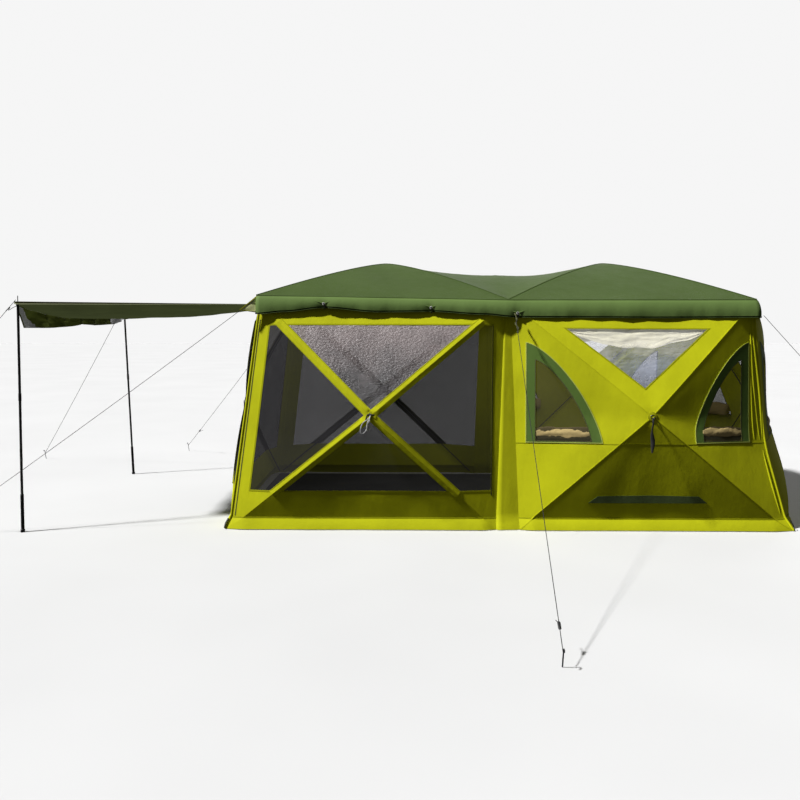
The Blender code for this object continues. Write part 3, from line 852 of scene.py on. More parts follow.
def band_height(panel, half, base, crown):
    """A sleeve's height over the cloth: highest over its pole."""
    lines = [(Vector(corner) - Vector(panel.centre)).normalized() for corner in panel.corners]

    def height(u, v):
        spot = Vector((u, v)) - Vector(panel.centre)
        best = 1.0
        for along in lines:
            if spot.dot(along) > -half:
                best = min(best, abs(along.x * spot.y - along.y * spot.x) / half)
        return base + crown * (1 - min(1.0, best) ** 2)

    return height


def overlay(panel, name, outlines, key, height, step=0.03, holes=(), cut=()):
    """A raised piece over the panel's cloth, in the shape of the outlines less the holes."""
    raised = height if callable(height) else (lambda u, v: height)
    cells = panel.cells([*outlines, *holes], step, cut)
    kept = [(facet, tri) for facet, inside, tri in cells if inside and max(inside) < len(outlines)]
    return panel.build(name, kept, key, raised, walls=True)


def ring_outline(outline, width):
    """An outline moved outwards by a width, mitred at its corners."""
    moved = []
    count = len(outline)
    for i in range(count):
        a, b, c = (Vector(outline[(i + k) % count]) for k in (-1, 0, 1))
        d1, d2 = (b - a).normalized(), (c - b).normalized()
        n1, n2 = Vector((d1.y, -d1.x)), Vector((d2.y, -d2.x))
        mitre = (n1 + n2).normalized()
        moved.append(tuple(b + mitre * (width / max(0.35, mitre.dot(n1)))))
    return moved


def seam(panel, name, line, key="lime_hem", half=0.005, height=0.0016):
    """A sewn seam along a line on the cloth."""
    outlines = []
    for a, b in zip(line, line[1:]):
        along = (Vector(b) - Vector(a)).normalized()
        outlines.append(strip(Vector(a) - along * half * 0.5, Vector(b) + along * half * 0.5, along, half))
    return overlay(panel, name, outlines, key, height, 0.04)


SCREEN_TOP, SCREEN_FOOT = 1.553, 0.30
SKIRT_LINE = [(-3, SKIRT), (3, SKIRT)]


def side_at(panel, right_side, v):
    """The outline's u at height v on its right or left side."""
    a, b = (panel.corners[1], panel.corners[2]) if right_side else (panel.corners[0], panel.corners[3])
    return a[0] + (b[0] - a[0]) * v / EAVE_HEIGHT


def sleeve_reach(panel, corner, opening):
    """The share of the way to a corner at which its sleeve ends, just past the opening's edge."""
    right_side, upper = corner[0] > panel.centre[0], corner[1] > panel.centre[1]
    edge = opening[2 if upper else 1] if right_side else opening[3 if upper else 0]
    reach_u = abs(edge[0] - panel.centre[0]) / abs(corner[0] - panel.centre[0])
    reach_v = abs(edge[1] - panel.centre[1]) / abs(corner[1] - panel.centre[1])
    return min(reach_u, reach_v) + 0.035


def screen_panel(panel, insets, mesh="screen"):
    """A panel of insect screen with pole sleeves across it.

    insets is the border beside the opening: at foot left, foot right, top right, top left."""
    opening = [
        (side_at(panel, False, SCREEN_FOOT) + insets[0], SCREEN_FOOT),
        (side_at(panel, True, SCREEN_FOOT) - insets[1], SCREEN_FOOT),
        (side_at(panel, True, SCREEN_TOP) - insets[2], SCREEN_TOP),
        (side_at(panel, False, SCREEN_TOP) + insets[3], SCREEN_TOP),
    ]
    cells = panel.cells([opening], 0.045, [SKIRT_LINE])
    panel.build("cloth", [(f, tri) for f, inside, tri in cells if not inside], "lime")
    panel.build("screen", [(f, tri) for f, inside, tri in cells if inside and f != 2], mesh)
    fine = panel.cells([opening], 0.016)

    def crinkle(u, v):
        fold = noise.noise(Vector((u * 6, v * 6, panel.seed))) * 0.003
        return fold + noise.noise(Vector((u * 50, v * 60, panel.seed))) * 0.0012

    # the film in the top facet, its colour lighter towards the top as painted reflection
    panel.build("film", [(f, tri) for f, inside, tri in fine if inside and f == 2], "film", crinkle)
    overlay(panel, "screen_hem", [ring_outline(opening, 0.012)], "lime_hem", 0.002, 0.05, holes=[opening])
    centre = Vector(panel.centre)
    reaches = [sleeve_reach(panel, corner, opening) for corner in panel.corners]
    sleeves, lines = [], []
    for corner, reach in zip(panel.corners, reaches):
        line = Vector(corner) - centre
        sleeves.append(strip(centre, centre + line * reach, line.normalized(), BAND_HALF))
        lines.append([panel.centre, tuple(centre.lerp(Vector(corner), reach))])
    raised = band_height(panel, BAND_HALF, 0.003, 0.004)
    overlay(panel, "sleeve", sleeves, "lime", raised, 0.025, cut=lines)
    for k, (corner, reach) in enumerate(zip(panel.corners, reaches)):
        line = Vector(corner) - centre
        offset = Vector((-line.y, line.x)).normalized() * (BAND_HALF - 0.004)
        for sign, edge in ((-1, "low"), (1, "high")):
            ends = [tuple(centre + line * share + offset * sign) for share in (0.06, reach - 0.005)]
            seam(panel, f"sleeve_edge_{k}_{edge}", ends, "lime_hem", 0.0022, 0.0052)
    seam(panel, "foot_seam", SKIRT_LINE)


def arch_outline(inner, foot, outer, top, lean, steps=20):
    """A window with an upright side at inner, a level foot out to outer, and an arch between their ends.

    lean moves the top of the upright side."""
    outline = [(inner, foot), (outer, foot)]
    for i in range(1, steps):
        turn = math.pi / 2 * i / steps
        u = inner + (outer - inner) * math.cos(turn) ** ARCH_POWER
        outline.append((u, foot + (top - foot) * math.sin(turn) ** ARCH_POWER))
    outline.append((inner, top))
    outline = [(u + lean * (v - foot) / (top - foot), v) for u, v in outline]
    if outer < inner:
        outline.reverse()
    return outline


WINDOW_FOOT, WINDOW_TOP = 0.67, 1.42
TRIM = 0.062  # width of a window's binding
ARCH_POWER = 1.43  # 1 is a round arch, 2 a straight slope
ROLL_RADIUS, ROLL_INWARD = 0.058, 0.026


def tangle_roll(name, panel, u0, u1, v, seed):
    """A crumpled roll of cloth lying along a level line, behind the panel."""
    rings, sides = 60, 28
    points = []
    for i in range(rings):
        part = i / (rings - 1)
        swell = 0.85 + (1 - 0.85) * math.sin(math.pi * part) ** 0.5
        middle = panel.point(u0 + (u1 - u0) * part, v, -ROLL_INWARD)
        for k in range(sides):
            turn = 2 * math.pi * k / sides
            fold = noise.noise(Vector((part * 4, math.sin(turn) * 2.6, seed)))
            fine = abs(noise.noise(Vector((part * 9 + 2 * math.sin(turn), math.sin(turn) * 5, seed + 3))))
            r = ROLL_RADIUS * swell * (1 + 0.18 * fold - 0.16 * fine)
            points.append(middle + panel.normal * (math.cos(turn) * r * 0.55) + UP * (math.sin(turn) * r))
    faces = tube_faces(rings, sides)
    faces.append(tuple(range(sides)))
    faces.append(tuple(reversed(range((rings - 1) * sides, rings * sides))))
    return new_mesh(name, points, faces, "roll")


def swag(panel, triangle):
    """The blind behind the film window, let down at its middle."""
    us = [p[0] for p in triangle]
    left_u, right_u, top = min(us) + 0.012, max(us) - 0.012, max(p[1] for p in triangle) - 0.004
    rows, columns = 16, 72
    points = []
    for j in range(rows + 1):
        down = j / rows
        for i in range(columns + 1):
            part = i / columns
            depth = 0.03 + 0.115 * math.sin(math.pi * part) ** 0.75
            depth += 0.014 * noise.noise(Vector((part * 7, 1, panel.seed)))
            slope = 0.6 * depth
            u = left_u + slope * down + (right_u - left_u - 2 * slope * down) * part
            fold = 0.007 * noise.noise(Vector((u * 5, down * 6 + u * 2, panel.seed)))
            fold += 0.003 * noise.noise(Vector((u * 22, down * 12, 3)))
            points.append(panel.point(u, top - depth * down, -0.014 + fold))
    faces = [face[::-1] for face in grid_faces(rows, columns)]
    blind = new_mesh(f"{panel.name}_blind", points, faces, "cream")
    panel.blend(blind, 2)
    declare_sheet(blind)


def cloth_panel(panel, windows, triangle, vent):
    """A cloth panel: arch windows in its side facets, a film window in its top facet, and a vent below."""
    clears, frames = [], []
    for inner, outer, lean in windows:
        grow = math.copysign(TRIM, outer - inner)
        low, high = WINDOW_FOOT + 0.004, WINDOW_TOP - TRIM * 2.0
        clears.append(arch_outline(inner + grow, low, outer - grow * 1.1, high, lean * 0.85))
        frames.append(arch_outline(inner, WINDOW_FOOT, outer, WINDOW_TOP, lean))
    cells = panel.cells([*clears, triangle], 0.045, [SKIRT_LINE])
    panel.build("cloth", [(f, tri) for f, inside, tri in cells if not inside], "lime")
    net = [(f, tri) for f, inside, tri in cells if inside and inside[-1] < len(clears)]
    panel.build("net", net, "window_mesh")
    fine = panel.cells([triangle], 0.02)

    def ripple(u, v):
        wave = noise.noise(Vector((u * 5, v * 9, panel.seed))) * 0.008
        return wave + noise.noise(Vector((u * 18, v * 16, 4))) * 0.003

    # painted reflection: the window film's pale blue-white top
    panel.build("film", [(f, tri) for f, inside, tri in fine if inside], "pvc_painted_reflection", ripple)
    overlay(panel, "film_hem", [ring_outline(triangle, 0.010)], "lime_hem", 0.002, 0.05, holes=[triangle])
    for n, (clear, bound) in enumerate(zip(clears, frames)):
        tag = "ab"[n]
        overlay(panel, f"window_binding_{tag}", [bound], "trim", 0.004, 0.02, holes=[clear])
        piping = ring_outline(bound, 0.006)
        overlay(panel, f"window_piping_{tag}", [piping], "piping", 0.0055, 0.03, holes=[bound])
        inner_edge = ring_outline(clear, -0.006)
        overlay(panel, f"window_lip_{tag}", [clear], "zip", 0.005, 0.02, holes=[inner_edge])
        us = [p[0] for p in clear]
        roll = tangle_roll(
            f"{panel.name}_window_roll_{tag}", panel, min(us) + 0.004, max(us) - 0.004,
            WINDOW_FOOT + ROLL_RADIUS, panel.seed + n,
        )
        panel.blend(roll, 1 if sum(us) / len(us) > panel.centre[0] else 3)
    swag(panel, triangle)
    seam(panel, "waist_seam", [(-3, WAIST), (3, WAIST)], "lime_hem", 0.003, 0.0016)
    seam(panel, "foot_seam", SKIRT_LINE)
    for k, corner in enumerate(panel.corners):
        seam(panel, f"pole_seam_{k}", [panel.centre, corner], "lime", 0.004, 0.002)
    left_u, right_u, low, high = vent
    tip = 0.07
    flap = [
        (left_u, low), (right_u, low), (right_u - tip, high - 0.006), ((left_u + right_u) / 2, high),
        (left_u + tip, high - 0.006),
    ]

    def vent_height(u, v):
        lip = 0.004 * max(0.0, 1 - (v - low) / (high - low))
        return 0.003 + lip * min(1.0, (u - left_u) / 0.1, (right_u - u) / 0.1)

    # painted shade: the flap's dark cloth stands for the shaded slot of the vent
    overlay(panel, "vent_flap", [flap], "vent", vent_height, 0.03)


screen_panel(front_a, (0.126, 0.051, 0.094, 0.110))
screen_panel(back_a, (0.006, 0.115, 0.115, 0.027))
screen_panel(left, (0.12,) * 4, "dense_screen")

ROOM_B_WINDOWS = [(0.14, 0.68, 0.0), (1.89, 1.39, -0.045)]
ROOM_B_TRIANGLE = [(0.994, 1.075), (1.495, 1.52), (0.44, 1.525)]
ROOM_B_VENT = (0.60, 1.50, 0.21, 0.27)


def mirrored(outline):
    return [(-u, v) for u, v in reversed(outline)]


cloth_panel(front_b, ROOM_B_WINDOWS, ROOM_B_TRIANGLE, ROOM_B_VENT)
cloth_panel(
    back_b, [(-inner, -outer, -lean) for inner, outer, lean in reversed(ROOM_B_WINDOWS)],
    mirrored(ROOM_B_TRIANGLE), (-ROOM_B_VENT[1], -ROOM_B_VENT[0], ROOM_B_VENT[2], ROOM_B_VENT[3]),
)
cloth_panel(
    right, [(-0.90, -0.34, 0.0), (0.90, 0.34, 0.0)], [(0.0, 1.09), (0.52, 1.53), (-0.52, 1.53)],
    (-0.42, 0.42, 0.21, 0.27),
)
for shell_panel, wall in (
    (front_a, "front_wall"), (back_a, "back_wall"), (left, "left_wall"), (right, "right_wall"),
):
    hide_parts(wall)


def pillar(name, basis):
    """The strip of wall between the two rooms, with its flared foot. It folds a little away from the sun."""
    origin, across, upward = (Vector(x) for x in basis)
    normal = across.cross(upward).normalized()
    rows, columns = 40, 8
    ridge = 1 / columns  # the fold's highest line, as a share of the strip
    points = []
    for r in range(rows + 1):
        v = EAVE_HEIGHT * r / rows
        half = PILLAR_FOOT + (PILLAR_TOP - PILLAR_FOOT) * v / EAVE_HEIGHT
        for c in range(columns + 1):
            part = c / columns
            u = half * (2 * c / columns - 1)
            fold = 0.2 * half * (part / ridge if part < ridge else (1 - part) / (1 - ridge))
            sway = 0.004 * noise.noise(Vector((u * 8, v * 2.2, 3.0))) * math.sin(math.pi * part)
            points.append(origin + across * u + upward * v + normal * (sway + flare(v) + fold))
    piece = new_mesh(name, points, grid_faces(rows, columns), "lime", "root")
    declare_sheet(piece)


pillar("front_pillar", FRONT)
pillar("back_pillar", BACK)

# ---------------------------------------------------------------- corner seams, zips


def corner_line(x_sign, y_sign, steps=36):
    """Points up a corner of the tent, drawn in at the waist on the right."""
    eave = EAVE_HALF_WIDTH if x_sign < 0 else EAVE_HALF_WIDTH_RIGHT
    foot = Vector((x_sign * (BASE_HALF_WIDTH + 0.001), y_sign * (BASE_HALF_DEPTH + 0.001), 0.004))
    head = Vector((x_sign * eave, y_sign * EAVE_HALF_DEPTH, EAVE_HEIGHT - 0.004))
    path = []
    for i in range(steps + 1):
        spot = foot.lerp(head, i / steps)
        if x_sign > 0:
            spot += (PULL_FRONT if y_sign < 0 else PULL_BACK) * waist_rise(spot.z)
        path.append(spot + Vector((x_sign, y_sign, 0)) * flare(spot.z))
    return path


for corner_x, corner_y, corner_tag in TENT_CORNERS:  # the bound seams where two walls meet
    sweep(
        f"corner_seam_{corner_tag}", corner_line(corner_x, corner_y), round_section(0.008, 10), "lime",
        up=REARWARD,
    )


def zips():
    """The zips beside the screen opening of the front wall."""
    for name, right_side, (top, inset_top), (foot, inset_foot), half, height in (
        ("corner_zip", False, (1.60, 0.022), (0.10, 0.03), 0.0032, 0.002),
        ("screen_zip", True, (SCREEN_TOP, -0.088), (0.26, -0.046), 0.0036, 0.003),
    ):
        line = [
            (side_at(front_a, right_side, top) + inset_top, top),
            (side_at(front_a, right_side, foot) + inset_foot, foot),
        ]
        seam(front_a, name, line, "zip", half, height)


def corner_folds():
    """The gathered folds at the tent's front right corner."""
    for n, (inset, low, high, radius) in enumerate((
        (0.022, 0.70, 1.60, 0.012), (0.052, 0.68, 1.56, 0.009), (0.085, 0.68, 1.20, 0.008),
        (0.03, 0.12, 0.60, 0.008),
    )):
        path = []
        for i in range(25):
            v = low + (high - low) * i / 24
            u = side_at(front_b, True, v) - inset - 0.010 * math.sin(v * 5 + n * 2)
            path.append(front_b.point(u, v, 0.0))
        sweep(
            f"corner_fold_{n}", path, round_section(radius, 8), "lime", up=REARWARD,
            scale=lambda t: 0.15 + 0.85 * math.sin(math.pi * t) ** 0.6,
        )


zips()
corner_folds()
for corner_x, corner_y, corner_tag in TENT_CORNERS:  # the webbing loops for pegs
    corner = Vector((corner_x * BASE_HALF_WIDTH, corner_y * BASE_HALF_DEPTH, 0.0))
    away = Vector((corner_x, corner_y, 0)).normalized()
    loop_path = smooth_path([
        corner + away * reach + UP * rise
        for reach, rise in ((0.012, 0.080), (0.036, 0.045), (0.048, 0.012), (0.04, 0.003))
    ], 5)
    sweep(f"peg_loop_{corner_tag}", loop_path, flat_section(0.014, 0.003), "web", up=away)

# ---------------------------------------------------------------- fly


def fly_eave(x):
    return FLY_EAVE + FLY_EAVE_LIFT * max(0.0, x / FLY_LEFT)


def room_half(x):
    return (FLY_RIGHT if x > 0 else -FLY_LEFT) / 2


def fly_height(x, y):
    half = room_half(x)
    across = min(1.0, abs(abs(x) - half) / half)
    along = min(1.0, abs(y) / FLY_HALF_DEPTH)
    if abs(x) > half or along >= across:
        lift = 1 - max(across, along) ** FLY_BOW
    else:
        into = (across - along) / max(1e-9, 1 - along)
        lift = (1 - along**FLY_BOW) * (1 - FLY_SADDLE * math.sin(into * math.pi / 2))
    share = max(across, along)
    slack = abs(across - along) / max(share, 0.05)
    pull = 4 * share * (1 - share) * min(1.0, slack * 1.5)
    sway = noise.noise(Vector((x * 1.6, y * 1.6, 9.0))) * 0.012
    sway += noise.noise(Vector((x * 6, y * 6, 3.0))) * 0.003
    rise = (FLY_TOP - fly_eave(x)) * lift
    return fly_eave(x) + rise + (sway - 0.012 * min(1.0, slack)) * pull


def fly_facet(room, side):
    """One of the four triangles of a dome: side is front, right, back or left."""
    half = room_half(room)
    middle = Vector((room * half, 0, 0))
    ends = {
        "front": ((-1, -1), (1, -1)), "right": ((1, -1), (1, 1)),
        "back": ((1, 1), (-1, 1)), "left": ((-1, 1), (-1, -1)),
    }[side]
    a, b = (Vector((middle.x + x * half, y * FLY_HALF_DEPTH, 0)) for x, y in ends)

    def place(outward_share, across):
        p = middle.lerp(a.lerp(b, across), outward_share)
        return Vector((p.x, p.y, fly_height(p.x, p.y)))

    tag = "a" if room < 0 else "b"
    piece = triangle_mesh(f"fly_{tag}_{side}", 26, place, "green")
    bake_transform(piece)
    declare_sheet(piece)


for room in (-1, 1):
    for side in ("front", "right", "back", "left"):
        fly_facet(room, side)
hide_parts("fly")


def fly_seams():
    """The felled seams down the ridges of the two domes, and the fold along the eaves."""
    for room, tag in ((-1, "a"), (1, "b")):
        half = room_half(room)
        middle = Vector((room * half, 0, 0))
        for x_sign, y_sign, corner_name in TENT_CORNERS:
            corner = middle + Vector((x_sign * half, y_sign * FLY_HALF_DEPTH, 0))
            spots = [middle.lerp(corner, i / 40) for i in range(41)]
            path = [Vector((p.x, p.y, fly_height(p.x, p.y) + 0.0015)) for p in spots]
            section = flat_section(0.010, 0.004)
            ridge = sweep(f"fly_ridge_{tag}_{corner_name}", path, section, "green", body=None)
            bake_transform(ridge)
    for y_sign, end in ((-1, "front"), (1, "back")):
        xs = [FLY_LEFT + (FLY_RIGHT - FLY_LEFT) * i / 60 for i in range(61)]
        path = [Vector((x, y_sign * (FLY_HALF_DEPTH + 0.002), fly_eave(x) - 0.004)) for x in xs]
        sweep(f"fly_eave_fold_{end}", path, round_section(0.005, 8), "green", up=REARWARD)


fly_seams()


# The front hem's height along x: drawn up at the ties, hanging in between
HEM_FRONT = [
    (-1.93, 1.648), (-1.72, 1.666), (-1.41, 1.696), (-1.0, 1.664), (-0.59, 1.667),
    (-0.2, 1.645), (0.07, 1.624), (0.5, 1.622), (1.2, 1.619), (1.885, 1.622),
]
TIES = (-1.41, -0.59, 0.07)


def valance_rim():
    """Points around the eave, as (place, how far the hem is pushed out, its drop, side number)."""
    front_left, front_right = Vector((FLY_LEFT, -FLY_HALF_DEPTH)), Vector((FLY_RIGHT, -FLY_HALF_DEPTH))
    back_right, back_left = Vector((FLY_RIGHT, FLY_HALF_DEPTH)), Vector((FLY_LEFT, FLY_HALF_DEPTH))
    rim = []
    for k, (a, b, count) in enumerate((
        (front_left, front_right, 130), (front_right, back_right, 64), (back_right, back_left, 130),
        (back_left, front_left, 40),
    )):
        for i in range(count):
            part = i / count
            p = a.lerp(b, part)
            near_end = min(part, 1 - part) * (b - a).length
            long_push = math.copysign(FLY_HEM_LONG, p.y)
            long_drop = fly_eave(p.x) - eased(HEM_FRONT, p.x)
            if k in (0, 2):
                push, drop = Vector((0, long_push)), long_drop
                if p.x > 0:
                    push.x = FLY_HEM_CORNER * max(0.0, 1 - (FLY_RIGHT - p.x) / 0.10)
            elif k == 1:
                belly = min(1.0, near_end / 0.24)
                belly = belly * belly * (3 - 2 * belly)
                push = Vector((FLY_HEM_CORNER + (FLY_HEM_RIGHT - FLY_HEM_CORNER) * belly, 0))
                push.y = long_push * max(0.0, 1 - near_end / 0.10)
                drop = FLY_HEM_DROP
            else:
                into = min(1.0, near_end / 0.05)
                push = Vector((-0.006, long_push * (1 - into)))
                drop = FLY_LIP_DROP + (long_drop - FLY_LIP_DROP) * (1 - into)
            rim.append((p, push, drop, k))
    return rim


def valance():
    """The hanging edge of the fly, drawn up at its ties, with a folded hem."""
    rim = valance_rim()
    rows, count = 9, len(rim)
    points = []
    for r in range(rows + 1):
        part = r / rows
        for p, push, drop, k in rim:
            pinch = sum(math.exp(-(((p.x - tie) / 0.035) ** 2)) for tie in TIES) if k == 0 else 0.0
            folds = noise.noise(Vector((p.x * 5.5, p.y * 5.5, 2.0))) * 0.010
            folds += noise.noise(Vector((p.x * 17, p.y * 17, 5))) * 0.004
            swing = math.sin(math.pi * part) * 0.009 + folds * part - 0.014 * pinch * part
            out = push.normalized() if push.length > 1e-6 else Vector((0, 0))
            place = p + push * part**0.55 + out * (swing if k != 3 else 0.0)
            points.append(Vector((place.x, place.y, fly_eave(p.x) - drop * part)))
    # painted light: the valance takes the brightened copy of the fly cloth
    piece = new_mesh("fly_valance", points, tube_faces(rows + 1, count), "valance", "root")
    declare_sheet(piece)
    # painted shade: a darkened copy of the fly cloth along the hem
    sweep("fly_hem", points[rows * count:], flat_section(0.004, 0.013), "green_hem_painted_shade", closed=True)


def fly_tie(n, tie):
    """A ring and a strap that draw the valance up, and the two folds that they make in it."""
    root = Vector((tie, -FLY_HALF_DEPTH - FLY_HEM_LONG + 0.006, eased(HEM_FRONT, tie) + 0.026))
    path = circle(root - REARWARD * 0.004, Vector((0.009, 0, 0)), UP * 0.009, 16)
    sweep(f"fly_tie_ring_{n}", path, round_section(0.0022, 6), "ring", up=REARWARD, closed=True)
    shifts = ((0, -0.004, 0.006), (0.004, -0.010, -0.006), (0.008, -0.004, -0.022), (0.002, 0.020, -0.040))
    path = smooth_path([root + Vector(shift) for shift in shifts], 4)
    sweep(f"fly_tie_{n}", path, flat_section(0.012, 0.0022), "web", up=REARWARD)
    for side, tag in ((-1, "left"), (1, "right")):
        path = smooth_path([
            root + Vector((side * reach, y, z))
            for reach, y, z in ((0.012, -0.002, 0.006), (0.06, -0.001, 0.018), (0.14, 0.006, 0.014))
        ], 5)
        # the folds take the valance's painted-light copy of the fly cloth
        sweep(
            f"fly_fold_{n}_{tag}", path, round_section(0.0042, 8), "valance", up=REARWARD,
            scale=lambda t: 1 - 0.93 * t,
        )


valance()
for tie_number, tie_x in enumerate(TIES):
    fly_tie(tie_number, tie_x)


def corner_tab():
    """The webbing triangle that joins the fly's front left corner to its guy line."""
    upper, lower = Vector((-1.924, -1.008, 1.780)), Vector((-1.930, -1.030, 1.660))
    tip = Vector((-2.048, -1.050, 1.674))

    def place(inward, across):
        puff = 0.004 * math.sin(math.pi * across) * math.sin(math.pi * inward)
        return tip.lerp(upper.lerp(lower, across), inward) + Vector((0, -puff, 0))

    tab = triangle_mesh("fly_corner_tab", 10, place, "tab", "root")
    declare_sheet(tab)
    sweep("fly_corner_tab_edge", [upper, tip, lower], flat_section(0.004, 0.012), "lime_hem", up=REARWARD)


corner_tab()


def middle_strap():
    """The doubled webbing that hangs from the fly between the rooms and carries the front guy line."""
    start, foot = (Vector(p) for p in GUYS["guy_front_middle"][:2])
    along = (foot - start).normalized()
    bends = ((0.05, 0.006), (0.11, -0.006), (0.17, 0.006))
    kinks = [start + along * reach + Vector((x, 0, 0)) for reach, x in bends]
    path = smooth_path([start + Vector((-0.004, 0, 0.02)), *kinks, start + along * 0.23], 5)
    sweep(
        "fly_middle_strap", path, flat_section(0.015, 0.004), "zip", up=-REARWARD,
        scale=lambda t: 0.8 + 0.35 * math.cos(t * 26),
    )


middle_strap()

# ---------------------------------------------------------------- awning

HINGE_X, HINGE_Z, INNER_HALF = -1.985, 1.72, 0.955
OUTER_X, OUTER_Z, OUTER_HALF = -3.70, 1.727, 1.16
OUTER_SKEW = 0.035  # how much further out the back corner is
EYE_MARGIN = 0.018  # cloth beyond the eye that each spike goes through


def awning_point(out, side):
    """out 0 at the tent and 1 at the poles, side -1 front to 1 back."""
    half = INNER_HALF + (OUTER_HALF + EYE_MARGIN - INNER_HALF) * out
    outer_x = OUTER_X - OUTER_SKEW * (side + 1) / 2 - EYE_MARGIN
    x = HINGE_X + (outer_x - HINGE_X) * out
    z = HINGE_Z + (OUTER_Z - HINGE_Z) * out
    belly = (1 - side**2) ** 0.8
    sag = 0.105 * math.sin(math.pi / 2 * min(1.0, out * 1.45)) * belly
    fold = noise.noise(Vector((out * 3.0, side * 2.2, 4.0))) * 0.016 * belly
    fold += noise.noise(Vector((out * 9.0, side * 3.0, 8.0))) * 0.006 * belly
    taut = min(1.0, (1 - abs(side)) / 0.12)
    return Vector((x, side * half, z - sag + fold * taut))


def awning_sheet():
    nx, ny = 60, 48
    points = [awning_point(i / nx, 2 * j / ny - 1) for i in range(nx + 1) for j in range(ny + 1)]
    faces = [(a, d, c, b) for a, b, c, d in grid_faces(nx, ny)]
    sheet = new_mesh("awning_sheet", points, faces, "awning", "awning")
    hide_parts("awning")
    declare_sheet(sheet)
    for side, tag in ((-1, "front"), (1, "back")):
        path = [awning_point(i / 40, side) for i in range(41)]
        sweep(
            f"awning_hem_{tag}", path, flat_section(0.004, 0.020), "awning_hem", body="awning",
            scale=lambda t: 0.25 + 0.75 * t,
        )
        eye = awning_point(1.0, side) + Vector((EYE_MARGIN, -side * EYE_MARGIN, 0.001))
        path = circle(eye, Vector((0.0105, 0, 0)), REARWARD * 0.0105, 20)
        sweep(f"awning_eyelet_{tag}", path, round_section(0.003, 8), "peg", closed=True, body="awning")
    path = [awning_point(0, 2 * j / 24 - 1) + Vector((0, 0, -0.002)) for j in range(25)]
    sweep("awning_zip", path, flat_section(0.03, 0.005), "zip", body="awning")


# The height of the flap's lower edge, from its front end (0) to its back end (1)
FLAP_FOOT = [
    (0.0, 1.538), (0.18, 1.536), (0.36, 1.545), (0.47, 1.566), (0.62, 1.556), (0.80, 1.566), (1.0, 1.62),
]


def awning_flap():
    """The foot of the lifted panel, folded down past the poles and crumpled, with its window patches."""
    nx, nz = 110, 18
    grid = {}
    for j in range(nz + 1):
        down = j / nz
        for i in range(nx + 1):
            part = i / nx
            top = awning_point(1.0, (2 * part - 1) * 0.985)
            drop = max(0.03, top.z - eased(FLAP_FOOT, part))
            ends = min(1.0, min(part, 1 - part) / 0.06)
            wave = 0.020 * math.sin(part * 41 + 3 * down)
            wave += 0.045 * noise.noise(Vector((part * 13, down * 1.8, 6)))
            fine = 0.012 * noise.noise(Vector((part * 45, down * 5, 1)))
            shift = 0.055 * down + (wave + fine) * down**0.7 * ends
            place = Vector((max(shift, -0.004), 0.012 * math.sin(part * 27) * down, -drop * down))
            grid[j, i] = top + place

    def window(part, down):
        """The window patch that a place on the flap is in, or an empty string."""
        if 0.04 < down < 0.985 and 0 < part - 0.012 < 0.076 * (0.35 + 0.65 * down):
            return "_window_front"
        return "_window_back" if 0.42 < down and 0.79 < part < 0.975 else ""

    for patch, key in (("", "awning_flap"), ("_window_front", "flap_film"), ("_window_back", "flap_film")):
        points, faces, index = [], [], {}
        for j in range(nz):
            for i in range(nx):
                if window((i + 0.5) / nx, (j + 0.5) / nz) != patch:
                    continue
                face = []
                for cell in ((j, i), (j, i + 1), (j + 1, i + 1), (j + 1, i)):
                    if cell not in index:
                        index[cell] = len(points)
                        points.append(grid[cell])
                    face.append(index[cell])
                faces.append(tuple(face))
        piece = new_mesh(f"awning_flap{patch}", points, faces, key, "awning")
        declare_sheet(piece)


awning_sheet()
awning_flap()
for pole in ("awning_pole_front", "awning_pole_back"):
    dress(pole, "steel")

# ---------------------------------------------------------------- poles and hubs

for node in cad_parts:
    if node.endswith("_hub"):
        dress(node, "hub")

POLE_DEPTH = 0.030  # from the cloth in to a rod's axis
ROD_RADIUS = 0.0052
ROD_STEPS = 26
ROD_SHARES = [0.035 + (0.955 - 0.035) * i / ROD_STEPS for i in range(ROD_STEPS + 1)]  # from hub to corner


def rod(node, path, body, start, end, up=UP):
    """A glass-fibre rod in place of its CAD node, baked in place. start (at the frame) and end (at the hub)
    are not used.
    """
    piece = sweep(f"{node}_rod", path, round_section(ROD_RADIUS, 10), "fibre", up=up, body=None)
    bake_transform(piece)
    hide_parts(node)


def panel_poles(panel):
    """The four rods of a wall panel, from the hub to their corner pockets, under the sleeves."""
    names = ("lower_left", "lower_right", "upper_right", "upper_left")
    for corner, corner_name in zip(panel.corners, names):
        path = []
        for share in ROD_SHARES:
            u = panel.centre[0] + (corner[0] - panel.centre[0]) * share
            v = panel.centre[1] + (corner[1] - panel.centre[1]) * share
            rise = panel.pop * (1 - max(share, APEX_SHARE) ** panel.bow)
            near_hub = max(0.0, 1 - share / 0.08)
            path.append(panel.plane(u, v) + panel.normal * (rise - POLE_DEPTH + 0.004 * near_hub))
        rod(
            f"{panel.name}_pole_{corner_name}", path, panel.body, panel.plane(*corner),
            panel.plane(*panel.centre), panel.normal,
        )


for wall in (front_a, front_b, back_a, back_b, left, right):
    panel_poles(wall)


